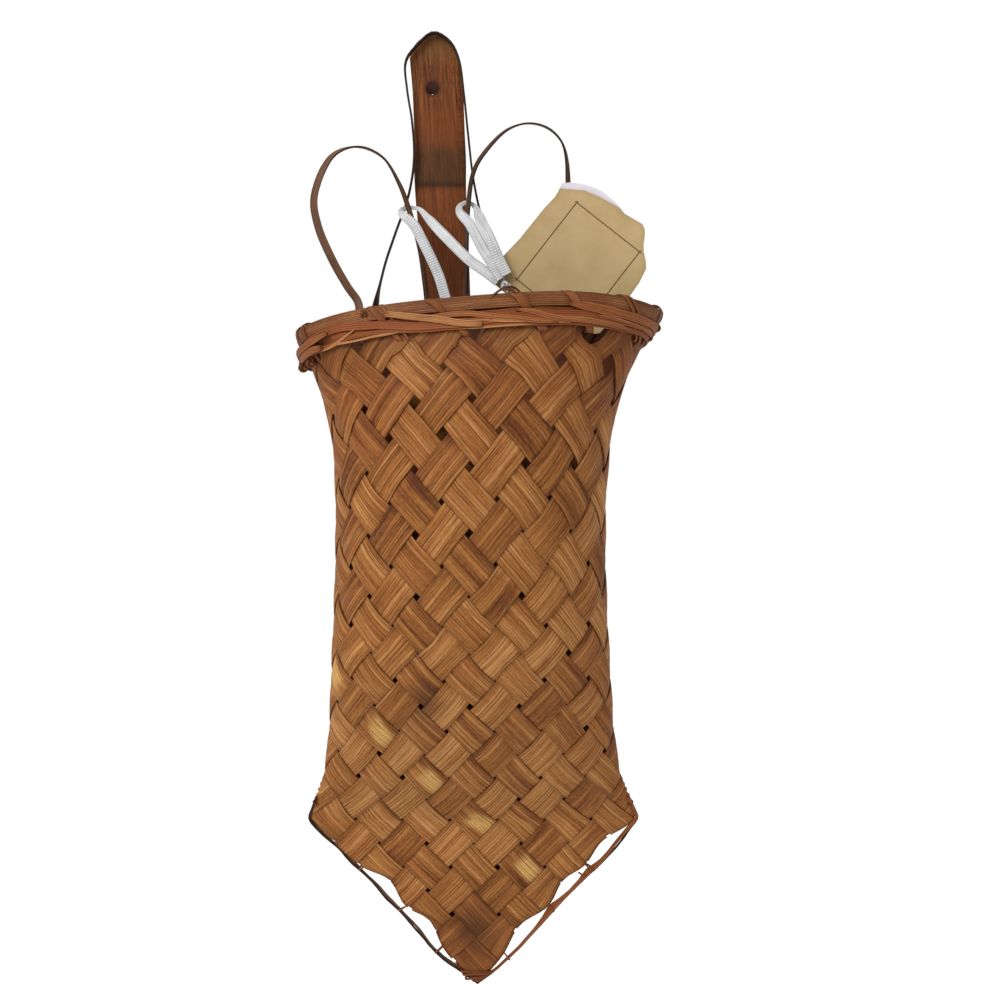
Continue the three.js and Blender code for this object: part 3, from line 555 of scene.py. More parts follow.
class Nodes:
    """The node tree of a material or world, with short ways to add and join nodes."""

    def __init__(self, holder):
        holder.use_nodes = True
        self.tree = holder.node_tree
        self.shader = self.tree.nodes.get("Principled BSDF")

    def add(self, kind, *values, settings=None, **inputs):
        """A node with its settings, and its inputs by place or by name."""
        node = self.tree.nodes.new(kind)
        for word, value in (settings or {}).items():
            setattr(node, word, value)
        for socket, value in [*enumerate(values), *inputs.items()]:
            self.join(value, node.inputs[socket])
        return node

    def join(self, value, socket):
        if isinstance(value, bpy.types.NodeSocket):
            self.tree.links.new(value, socket)
        else:
            socket.default_value = value

    def shade(self, **inputs):
        """Inputs of the material's shader, with an underscore for each space of a name."""
        for word, value in inputs.items():
            self.join(value, self.shader.inputs[word.replace("_", " ")])

    def math(self, operation, first, second, clamp=False):
        settings = {"operation": operation, "use_clamp": clamp}
        return self.add("ShaderNodeMath", first, second, settings=settings).outputs[0]

    def times(self, first, second, clamp=False):
        return self.math("MULTIPLY", first, second, clamp)

    def above(self, value, level, factor, clamp=False):
        """How far a value is above a level, times a factor."""
        return self.times(self.math("SUBTRACT", value, level), factor, clamp)

    def read(self, word):
        vector = self.add("ShaderNodeAttribute", settings={"attribute_name": word}).outputs["Vector"]
        return vector, self.add("ShaderNodeSeparateXYZ", vector).outputs

    def noise(self, vector, scales, detail=3.0, roughness=0.55):
        scaled = self.add("ShaderNodeVectorMath", vector, scales, settings={"operation": "MULTIPLY"})
        look = {"Scale": 1.0, "Detail": detail, "Roughness": roughness}
        return self.add("ShaderNodeTexNoise", Vector=scaled.outputs[0], **look).outputs["Fac"]

    def ramp(self, value, stops):
        node = self.add("ShaderNodeValToRGB", value)
        elements = node.color_ramp.elements
        while len(elements) < len(stops):
            elements.new(0.5)
        for element, (place, color) in zip(elements, stops):
            element.position = place
            element.color = color
        return node.outputs["Color"]

    def mix(self, factor, first, second):
        node = self.add("ShaderNodeMix", settings={"data_type": "RGBA", "clamp_factor": True})
        for socket, value in ((0, factor), (6, first), (7, second)):
            self.join(value, node.inputs[socket])
        return node.outputs[2]

    def bump(self, height, strength, distance):
        node = self.add("ShaderNodeBump", Height=height, Strength=strength, Distance=distance)
        self.shade(Normal=node.outputs[0])


def fibre(name, colors, roughness=0.6, groove=1.3, streak=1.0, sheen=0.12, grainy=0.8):
    """Split bamboo: streaks along the grain, and painted shade in the grooves between slivers; redder, worn, stained
    and darkened with painted shade where the mesh says so.

    Its colours are dark, middle, light, red, worn, and the colour of stains and painted shade.
    """
    material = bpy.data.materials.new(name)
    nodes = Nodes(material)
    dark, middle, light, red, worn, shade_and_stain_color = (srgb(*color) for color in colors)
    grain, _ = nodes.read("grain")
    _, (value, wear, ridge) = nodes.read("tone")
    _, (redness, shade_and_stain, _) = nodes.read("cast")
    fine = nodes.noise(grain, (2.4 * streak, 0.05, 1.0), 4.0, 0.65)
    broad = nodes.noise(grain, (0.28, 0.022, 1.0), 3.0)
    speck = nodes.noise(grain, (1.4, 0.55, 1.0), 4.0, 0.65)
    split = nodes.noise(grain, (2.1, 0.085, 2.0), 2.0)
    for pattern, amount in ((fine, grainy), (broad, 0.7), (speck, 0.55)):
        value = nodes.math("ADD", value, nodes.above(pattern, 0.5, amount))
    color = nodes.ramp(value, [(0.08, dark), (0.5, middle), (0.95, light)])
    # Redder where the mesh says so; on the woven splints under the rim this reddening is painted shadow
    color = nodes.mix(nodes.times(redness, 0.85), color, red)
    patch = nodes.times(nodes.math("ADD", speck, 0.35), wear)
    color = nodes.mix(nodes.times(patch, 1.15, True), color, worn)
    color = nodes.mix(nodes.times(nodes.above(split, 0.58, 7.5, True), 0.6), color, dark)
    # Painted shade in the grooves between slivers: the lower the ridge value, the nearer to the dark colour
    color = nodes.mix(nodes.times(nodes.math("SUBTRACT", 1.0, ridge), groove, True), color, dark)
    # Stains, and painted shade under the rim, along splint edges, on the slat's node and in its nail hole
    color = nodes.mix(nodes.times(shade_and_stain, nodes.math("ADD", speck, 0.45), True), color, shade_and_stain_color)
    rough = nodes.math("ADD", nodes.times(speck, 0.25), roughness - 0.12)
    nodes.shade(Base_Color=color, Roughness=rough, Specular_IOR_Level=sheen)
    nodes.bump(fine, 0.35, 0.00022)
    return material


SPLINT = fibre("aged_bamboo_splint", [
    (80, 40, 17), (150, 95, 46), (188, 134, 80), (134, 72, 38), (212, 166, 98), (56, 33, 20),
])
RIM = fibre("rim_bamboo_splint", [
    (80, 40, 19), (142, 85, 45), (178, 124, 78), (136, 70, 36), (206, 158, 100), (52, 31, 21),
], roughness=0.55)
HOOP = fibre("hoop_bamboo", [
    (64, 35, 20), (126, 77, 44), (172, 118, 70), (112, 54, 28), (176, 126, 80), (36, 22, 16),
], roughness=0.55)
DARK = fibre("dark_bamboo", [
    (24, 17, 13), (62, 46, 36), (112, 86, 66), (120, 66, 36), (150, 115, 84), (20, 14, 12),
], roughness=0.45)
SLAT = fibre("slat_bamboo", [
    (50, 27, 14), (100, 55, 26), (140, 84, 42), (118, 60, 30), (100, 70, 40), (46, 27, 20),
], roughness=0.55, groove=0.3, streak=0.6, sheen=0.1, grainy=2.2)


def paper(name, base, spot, fibres, roughness):
    """Paper or card: a mottled tint with short fibres."""
    material = bpy.data.materials.new(name)
    nodes = Nodes(material)
    grain, _ = nodes.read("grain")
    _, (_, _, inside) = nodes.read("tone")
    cloud = nodes.noise(grain, (0.09, 0.09, 1.0), 3.0)
    tooth = nodes.noise(grain, (3.0, 3.0, 1.0), 3.0, 0.7)
    threads = nodes.noise(grain, (0.5, 4.0, 1.0), 2.0)
    value = nodes.math("ADD", nodes.times(cloud, 0.6), nodes.times(tooth, 0.4))
    color = nodes.ramp(value, [(0.3, srgb(*spot)), (0.6, srgb(*base))])
    color = nodes.mix(nodes.times(threads, 0.22), color, srgb(*fibres))
    color = nodes.mix(nodes.times(nodes.math("SUBTRACT", 1.0, inside), 0.35), color, srgb(*fibres))
    nodes.shade(Base_Color=color, Roughness=roughness, Specular_IOR_Level=0.2)
    nodes.bump(tooth, 0.25, 0.00012)
    return material


PAPER = paper("tag_paper", (182, 158, 115), (168, 143, 100), (142, 117, 79), 0.85)
CARD = paper("pale_card", (214, 207, 214), (202, 194, 203), (184, 175, 186), 0.8)
INK = paper("border_ink", (112, 86, 50), (98, 74, 42), (82, 60, 34), 0.7)


def satin():
    """Curling ribbon: a white film with fine lines along it and a soft gloss."""
    material = bpy.data.materials.new("curling_ribbon")
    nodes = Nodes(material)
    lines = nodes.noise(nodes.read("grain")[0], (3.2, 0.08, 1.0), 3.0)
    color = nodes.ramp(lines, [(0.3, srgb(160, 160, 162)), (0.62, srgb(198, 199, 198))])
    nodes.shade(Base_Color=color, Roughness=nodes.math("ADD", nodes.times(lines, 0.25), 0.24))
    nodes.bump(lines, 0.2, 0.0001)
    return material


RIBBON = satin()


# Ribbon: two crimped strands, each round one loop and back to the knot
RIBBON_WIDTH = 4.8
RIBBON_THICKNESS = 0.3
RIBBON_STEPS = 720
CRIMP_PITCH = 1.15
CRIMP_DEPTH = 0.08
GATHER_SHARE = 0.62
GATHER_REACH_SHARE = 0.09
LEFT_RIBBON_ROUTE = [
    (6.7, -22, -99.5), (3.2, -20, -88.2), (-3.4, -18, -74), (-8.6, -16.4, -64.5), (-13.2, -14.8, -60.4),
    (-13.6, -11.2, -57.6), (-10, -9.2, -56.4), (-6, -9.6, -57), (-1.9, -13.2, -61.5), (5, -19.5, -69.5),
    (17.6, -29.5, -83), (26.4, -35.6, -90), (30.6, -37.4, -93.6),
]
RIGHT_RIBBON_ROUTE = [
    (32, -39.4, -92.4), (28.2, -37.4, -86), (24.2, -34, -79.4), (21.6, -26.6, -73.6), (17.4, -20.4, -65.2),
    (12.9, -15.4, -59.2), (13.2, -11, -55.6), (16.4, -8.9, -53.8), (19.8, -10.6, -56), (21.6, -18, -61),
    (23.6, -31, -67), (27, -37.6, -74.6), (30.8, -38.8, -83.4), (34.4, -40.2, -90.8),
]
TAG_HOLE = (32.7, -34, -89.4)
TAG_TURN = 39
TAG_YAW = 12
THREAD_LEAN = 0.3
THREAD_REACH = 6.6
THREAD_DEPTH = 3.5
THREAD_RADIUS = 0.45
KNOT_STRAND_RADIUS = 0.62
KNOT_RADIUS = 1.3
KNOT_LUMP = 0.6
KNOT_DEPTH = 0.95


def ribbon_strand(node, route, seed):
    """A strand of ribbon and its length. It gathers where it goes round its loop."""
    path = spline(route, RIBBON_STEPS)
    along = path_lengths(path)
    tangent = tangents(path, False)
    across = unit(np.cross(tangent, TOWARDS_WALL))
    crimp = CRIMP_DEPTH * np.sin(2 * math.pi * along / CRIMP_PITCH) * (1 + 0.4 * wander(seed, along, 3, 17))
    crimped = path + np.cross(tangent, across) * crimp[:, None]
    share = np.linspace(0, 1, len(path))
    bend = share[np.argmax(path[:, 1])]
    width = RIBBON_WIDTH * (1 - GATHER_SHARE * bell((share - bend) / GATHER_REACH_SHARE))
    form = Form()
    add_strip(form, crimped, across, width, RIBBON_THICKNESS, Splint(seed, 1, ridge=0.0), seed)
    return form.keep(node, "strand", RIBBON, "ribbon"), along[-1]


def three_lobed(reach, lobe, depth, count):
    """A closed path that winds twice round, in and out three times, like an overhand knot."""
    turn = angles(count)
    out = reach + lobe * np.cos(3 * turn)
    return np.stack([out * np.cos(2 * turn), depth * np.sin(3 * turn), out * np.sin(2 * turn)], axis=1)


def add_knot():
    """A thread through the tag's hole, and the lumpy knot that both strands end in."""
    form = Form()
    turn = angles(40)
    yaw = math.radians(TAG_YAW)
    normal = np.array([math.sin(yaw), math.cos(yaw), 0])
    down = unit(np.array([math.cos(yaw) * THREAD_LEAN, -math.sin(yaw) * THREAD_LEAN, -1.0]))
    centre = np.array(TAG_HOLE) + down * THREAD_REACH
    ring = centre - down * THREAD_REACH * np.cos(turn)[:, None]
    ring = ring - normal * THREAD_DEPTH * np.sin(turn)[:, None]
    add_tube(form, ring, THREAD_RADIUS, 61, closed=True)
    lumps = three_lobed(KNOT_RADIUS, KNOT_LUMP, KNOT_DEPTH, 120)
    add_tube(form, centre - normal * THREAD_DEPTH + lumps, KNOT_STRAND_RADIUS, 62, 9, closed=True)
    return form.keep("ribbon_knot", "form", RIBBON, "ribbon")


knot = add_knot()
for node, route, seed, pieces in (
    ("ribbon_left", LEFT_RIBBON_ROUTE, 71, (knot,)),
    ("ribbon_right", RIGHT_RIBBON_ROUTE, 72, ()),
):
    strand, length = ribbon_strand(node, route, seed)
    metres = [tuple(p * MM for p in point) for point in route]
    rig.cord(
        strand, metres[0], round(length * MM, 4), RIBBON_WIDTH * MM, "knot",
        stiffness="limp", lay="taut", path=metres, with_pieces=pieces,
    )


# Woven splints
SPLINT_THICKNESS = 0.5
SPLINT_SLIVERS = (9, 13)
SPLINT_WIDTH = 14.2
LEAST_GAP_SHARE = 0.038
WIDTH_WEIGHT = 0.96
DEPTH_WEIGHT = 0.54
WEAVE_RISE = 0.58
WEAVE_SHARPNESS = 0.6
PILLOW = 0.22
WOVEN_RIDGE = 0.11
WOVEN_JITTER = 0.34
GAP_WANDER = 0.012
TRACK_WANDER = 0.016
GAP_POWER = 1.4
OPEN_START_ROW = 8
OPEN_ROWS = 2.5
FOLD_BLEND_ROWS = 0.6
HALF_FOLD_BLEND = 0.2
CROSSING_STEPS = 8
TOP_ROWS = 12.45
SPLINT_PITCH = 16.5
CORNER_REACH = 0.34
LEAST_EDGE_GAP = 0.004
CLOSED_GAP = 0.012
OPEN_GAP = 0.075
UPPER_OPENING = 0.05
FIRST_RIM_ROW = 11.5
END_SHARES = (0.35, 0.7, 1.0)
FOLD_SHARES = (0.2, 0.4, 0.6, 0.8)
# Holes of the weave that stay open below the rim: place around, row, and half the gap
RIM_HOLES = [
    (-2, 12, 0.13), (0, 12, 0.15), (2, 12, 0.33), (3, 12, 0.15), (-1.5, 11.5, 0.09), (-0.5, 11.5, 0.06),
    (1.5, 11.5, 0.12), (2.5, 11.5, 0.2), (-1, 11, 0.11), (1, 11, 0.1), (3, 11, 0.1), (1.5, 9.5, 0.045),
]


def gap_share(row):
    place = np.maximum(row, 1)
    rise = row_height(place + 0.5) - row_height(place - 0.5)
    _, a, b, _ = section_values(place)
    run = np.where(place <= FOLD_ROWS, a / place, (a * WIDTH_WEIGHT + b * DEPTH_WEIGHT) / FOLD_ROWS)
    pitch = rise * run / np.hypot(rise, run)
    return np.maximum((1 - SPLINT_WIDTH / pitch) / 2, LEAST_GAP_SHARE)


def panel_normal(behind, row):
    middle = np.where(behind, HALF_ROUND, 0.0)
    along = surface_point(middle, row + PROBE) - surface_point(middle, row)
    flat = unit(np.cross([1.0, 0.0, 0.0], along))
    wanted = np.where(behind, 1.0, -1.0)
    return flat * (np.where(flat[..., 1] < 0, -1.0, 1.0) * wanted)[..., None]


# Where the cord pulls the folded edge in: row, half length in rows, depth
PULLS = {
    -1: [(2.0, 0.34, 5.6), (1.18, 0.33, 5.4)],
    1: [(2.85, 0.38, 4.2), (2.05, 0.32, 4.6), (1.1, 0.38, 4.6)],
}
PULL_REACH = 10
PULL_TOP_ROW = FOLD_ROWS + 0.3


def pulled(points, row):
    """Points near a folded edge, drawn in where the cord stands off it."""
    moved = points
    for side, pulls in PULLS.items():
        depth = sum(size * bell((row - place) / half) for place, half, size in pulls)
        away = np.abs(points[..., 0] - crease_point(side, row)[..., 0])
        inwards = np.array([-side, 0.0, 1.0]) / math.sqrt(2)
        near = bell(away / PULL_REACH) * (row < PULL_TOP_ROW)
        moved = moved + inwards * (depth * near)[..., None]
    return moved


def weave_wave(beta):
    wave = np.sin(math.pi * beta)
    return np.sign(wave) * np.abs(wave) ** WEAVE_SHARPNESS


def corner_gap(edge, crossing, leans_right, behind):
    """Half the gap at a corner of the lattice, the same for all the splints that meet there."""
    right, left = (edge, crossing) if leans_right else (crossing, edge)
    around = from_front((right - left) / 2 + HALF_ROUND * behind)
    row = (right + left) / 2
    value = scatter(around * SCATTER_STEP + row * SCATTER_ROW_STEP)
    open_gap = OPEN_GAP + UPPER_OPENING * smooth((row - OPEN_START_ROW) / OPEN_ROWS)
    gap = CLOSED_GAP + (open_gap - CLOSED_GAP) * value**GAP_POWER
    gap = np.where(row >= FIRST_RIM_ROW, CLOSED_GAP, gap)
    for place, level, size in RIM_HOLES:
        gap = np.where((around == place) & (row == level), size, gap)
    return gap


def splint_rings(splint, track, side, behind, seed):
    """Points of one face of a splint from the fold up: rings by section points, and their places."""
    top = 2 * TOP_ROWS - track
    regular = np.arange(0, (2 * LASHING_ROWS - track - 0.25) * CROSSING_STEPS + 1) / CROSSING_STEPS
    share = splint.across
    middle_row = (track + 0.5 + regular) / 2
    gap = gap_share(middle_row) + GAP_WANDER * wander(seed, regular, 4, 9)
    drift = TRACK_WANDER * wander(seed + 3, regular, 3, 11)
    leans_right = (side > 0) != behind
    nearest = np.round(regular)
    at_corner = bell((regular - nearest) / CORNER_REACH)
    at_corner = np.maximum(at_corner, smooth((regular - regular[-1] + 0.5) / 0.4))
    gaps = []
    for edge in (track, track + 1):
        wanted = corner_gap(edge, nearest, leans_right, behind)
        gaps.append(np.maximum(gap + (wanted - gap) * at_corner, LEAST_EDGE_GAP))
    u = (gaps[0] + drift)[:, None] + share * (1 - gaps[0] - gaps[1])[:, None]
    beta = np.broadcast_to(regular[:, None], u.shape)
    # Above the lashing's holes the splint's end is straight
    beta = np.concatenate([beta, [beta[-1] + (top - u[-1] - beta[-1]) * t for t in END_SHARES]])
    u = np.concatenate([u, [u[-1]] * len(END_SHARES)])
    turned = (track + u - beta) / 2
    around = (turned if leans_right else -turned) + HALF_ROUND * behind
    row = (track + u + beta) / 2
    first = 1 if (track % 2 == 0) == leans_right else -1
    point = pulled(surface_point(around, row), row)
    flat = panel_normal(np.full(row.shape, behind), row)
    folded = 1 - smooth((row - FOLD_ROWS + HALF_FOLD_BLEND) / FOLD_BLEND_ROWS)[..., None]
    normal = unit(surface_normal(around, row) * (1 - folded) + flat * folded)
    wave = first * weave_wave(beta)
    lifted = WEAVE_RISE * wave + PILLOW * (1 - (2 * share - 1) ** 2) * np.maximum(wave, 0)
    points = point + normal * (lifted + splint.heights(SPLINT_THICKNESS))[..., None]
    return points, beta, u, around, row, wave


def fold_rings(splint, track, side, u):
    """Rings round the folded edge, between the lowest rings of the two faces, and their places."""
    row = (track + u) / 2
    crease = pulled(crease_point(side, row), row)
    along = unit(crease_point(side, row + PROBE) - crease_point(side, row - PROBE))
    outwards = unit(np.cross(along, TOWARDS_WALL)) * side
    reach = (FOLDED_HALF_GAP + splint.heights(SPLINT_THICKNESS))[:, None]
    turns = [math.pi * (share - 0.5) for share in FOLD_SHARES]
    rings = [crease + (outwards * math.cos(turn) + TOWARDS_WALL * math.sin(turn)) * reach for turn in turns]
    shape = (len(rings), splint.size)
    places = [np.broadcast_to(v, shape) for v in (0.0, u, side * row, row, 0.5)]
    return np.array(rings), *places


# Worn, pale stretches: splint, its crossings on the front
WORN = {4: (1.32, 3.3, 5.3, 7.35, 9.6)}
WORN_HALF_LENGTH = 0.52
WORN_HALF_WIDTH = 0.33
# Dark stains on the front: place around, row, reach in rows
STAINS = [(-0.95, 6.1, 0.45), (-1.1, 11.3, 0.5), (0.0, 1.2, 0.6), (2.6, 10.6, 0.7), (-3.3, 8.2, 0.4)]


# How much a splint's value changes with the splint, the crossing, the sliver, its length
# and the painted shade where it goes under
SPLINT_SPREAD = 0.16
CROSSING_SPREAD = 0.16
SLIVER_SPREAD = 0.17
LENGTH_SPREAD = 0.1
UNDER_SHADE = 0.22
# The value falls from the foot to the rim, a painted shade that is deepest under the rim, and it is low again at the
# tip: amount, row and rows of the change
HEIGHT_SHADE = (0.09, 7.5, 4)
TIP_SHADE = (0.12, 3.4, 1.5)
# Redness at the tip and right side, and redness and darkening under the rim that paint the rim's shadow: amount, start
# and reach
RIM_SHADOW_RED = (0.32, 9.5, 3)
TIP_RED = (0.35, 2.6)
RIGHT_RED = (0.22, 1, 3)
RIM_SHADOW = (0.5, 11.3, 1.1)
# Dark edges of the splints: painted shade where they meet their neighbours, deeper where they go under, and a darker
# skin along them
EDGE_SHADE_AND_STAIN_WIDTH = 0.15
UNDER_EDGE_SHADE_AND_STAIN = 0.55
OVER_EDGE_SHADE_AND_STAIN = 0.36


def rising(amounts, place):
    """An amount that comes in smoothly after a start, over a reach."""
    amount, start, reach = amounts
    return amount * smooth((place - start) / reach)


def splint_tones(index, splint, beta, u, around, row, wave, behind):
    """Value with painted shade in it, wear, ridge, redness with painted shadow under the rim, and stains with painted
    shade, at each point of a splint's rings.
    """
    seed = index * 11
    base = 0.5 + SPLINT_SPREAD * np.random.default_rng(seed + 4).uniform(-1, 1)
    cell = (scatter(np.floor(beta) * SCATTER_STEP + seed * 4.1) - 0.5) * CROSSING_SPREAD
    along = beta * SPLINT_PITCH
    sliver = splint.shade * SLIVER_SPREAD * (1 + 0.5 * wander(seed + 7, along + splint.across * 300, 4, 130))
    value = base + cell + sliver + LENGTH_SPREAD * wander(seed + 5, along, 5, 160)
    # Painted shade where the splint goes under its neighbour
    value = value - UNDER_SHADE * np.clip(-wave, 0, 1)
    # Painted shade that deepens towards the rim
    amount, middle_row, rows = HEIGHT_SHADE
    value = value + amount * np.clip((middle_row - row) / rows, -1, 0.6)
    amount, top_row, rows = TIP_SHADE
    value = value - amount * smooth((top_row - row) / rows)
    turned = from_front(around)
    front = not behind
    worn = 0.3 * np.clip(wander(seed + 8, along + 40 * u, 3, 90) - 0.75, 0, 1) * (wave > 0.5)
    for place in WORN.get(index, ()) * front:
        reach = 1 - ((beta - place) / WORN_HALF_LENGTH) ** 2
        middle = 0.58 + 0.08 * wander(seed + int(place * 3), along, 2, 40)
        sides = 1 - ((u - middle) / WORN_HALF_WIDTH) ** 2
        worn = np.maximum(worn, 0.8 * smooth(reach) * smooth(sides * 1.4))
    # Redder under the rim as painted shadow, and redder at the tip and the right side
    red = rising(RIM_SHADOW_RED, row) + TIP_RED[0] * (1 - smooth(row / TIP_RED[1]))
    red = red + rising(RIGHT_RED, turned) * front + 0.16 * wander(seed + 6, along, 4, 120)
    red = np.clip(red, 0, 1)
    # Painted shadow under the rim, then the dark stains on the front
    shade_and_stain = rising(RIM_SHADOW, row)
    for place, level, reach in STAINS * front:
        away = ((turned - place) / reach) ** 2 + ((row - level) / reach) ** 2
        shade_and_stain = np.maximum(shade_and_stain, 0.75 * np.exp(-away * 1.6))
    # Painted shade and a darker skin along the splint's edges
    at_edge = smooth((EDGE_SHADE_AND_STAIN_WIDTH - np.minimum(u, 1 - u)) / 0.13)
    shade_and_stain = np.maximum(shade_and_stain, np.where(wave < 0.4, UNDER_EDGE_SHADE_AND_STAIN, OVER_EDGE_SHADE_AND_STAIN) * at_edge)
    # The painted shade in the grooves fades in and out along the splint
    faded = 0.72 + 0.4 * wander(seed + 9, along + splint.across * 700, 4, 120)
    ridged = 1 - (1 - splint.ridged) * np.clip(faded, 0, 1)
    return np.stack([value, worn, ridged, red, shade_and_stain])


def woven_splint(index):
    side = 1 if index <= SPLINTS_ROUND // 2 else -1
    track = (index - 1) % (SPLINTS_ROUND // 2)
    slivers = int(np.random.default_rng(index * 19).integers(*SPLINT_SLIVERS, endpoint=True))
    splint = Splint(index * 17 + 1, slivers, ridge=WOVEN_RIDGE, jitter=WOVEN_JITTER)
    front = splint_rings(splint, track, side, False, index * 5)
    back = splint_rings(splint, track, side, True, index * 5 + 1)
    fold = fold_rings(splint, track, side, front[2][0])
    tones = [splint_tones(index, splint, *part[1:], behind)
             for part, behind in ((front, False), (fold, True), (back, True))]
    value = np.concatenate([tones[0][:, ::-1], tones[1], tones[2][:, 1:]], axis=1)
    points, beta, u = (np.concatenate([a[::-1], b, c[1:]]) for a, b, c in zip(front[:3], fold, back))
    beta[: len(front[1])] *= -1
    grain = ((u + index * 7) * SPLINT_WIDTH, beta * SPLINT_PITCH, index * 3.1)
    form = Form()
    form.add_rings(points, False, grain, value[:3], (*value[3:], 0))
    form.keep(f"splint_{index:02d}", "woven", SPLINT, "splint")


for index in range(1, SPLINTS_ROUND + 1):
    woven_splint(index)


# Rim. Heights are millimetres above the lashing's holes, and depths are outwards from the wall's middle.
RIM_TOP = 14.3
UPPER_HOOP_LOW = 8.3
INNER_HOOP_HEIGHT = 10
HOOP_THICKNESS = 1.45
HOOP_STEPS = 190
OUTER_HOOP_DEPTH = 2.1
INNER_HOOP_DEPTH = -3.27
AROUND_PITCH = 20.5
RIM_STEP = 2.6
STRIP_TAPER = 7
SLIVER_WIDTH = 0.8


def rim_path(places, depth):
    """Path on the rim through places, each an amount around and a height, and its up direction."""
    scaled = np.array(places) * (AROUND_PITCH, 1)
    route = spline(scaled, int(path_lengths(scaled)[-1] / RIM_STEP))
    around, height = route[:, 0] / AROUND_PITCH, route[:, 1]
    row = rim_row(height)
    points = wall_point(around, row, np.full(len(row), depth))
    return points, np.cross(surface_normal(around, row), tangents(points, False))


def hoop(node, low, high, depth, seed, slivers, tone, cast, inside=False):
    """A closed band round the rim."""
    around = np.linspace(0, SPLINTS_ROUND, HOOP_STEPS, endpoint=False)
    row = rim_row((low + high) / 2 + 0.25 * wander(seed, around, 3, SPLINTS_ROUND))
    points = wall_point(around, row, depth + 0.12 * wander(seed + 1, around, 5, SPLINTS_ROUND))
    up = np.cross(surface_normal(around, row), tangents(points, True))
    width = (high - low) * (1 + 0.04 * wander(seed + 2, around, 4, SPLINTS_ROUND))
    form = Form()
    splint = Splint(seed, slivers, ridge=0.05, crown=0.15)
    widthways = -up if inside else up
    add_strip(form, points, widthways, width, HOOP_THICKNESS, splint, seed, tone, cast, closed=True)
    form.keep(node, "band", HOOP, "hoop")


hoop("rim_outer_hoop", UPPER_HOOP_LOW, RIM_TOP, OUTER_HOOP_DEPTH, 101, 8, 0.52, (0.15, 0.1, 0))
INNER_HOOP_LOW = RIM_TOP - INNER_HOOP_HEIGHT
hoop("rim_inner_hoop", INNER_HOOP_LOW, RIM_TOP, INNER_HOOP_DEPTH, 102, 10, 0.3, (0.1, 0.35, 0), True)

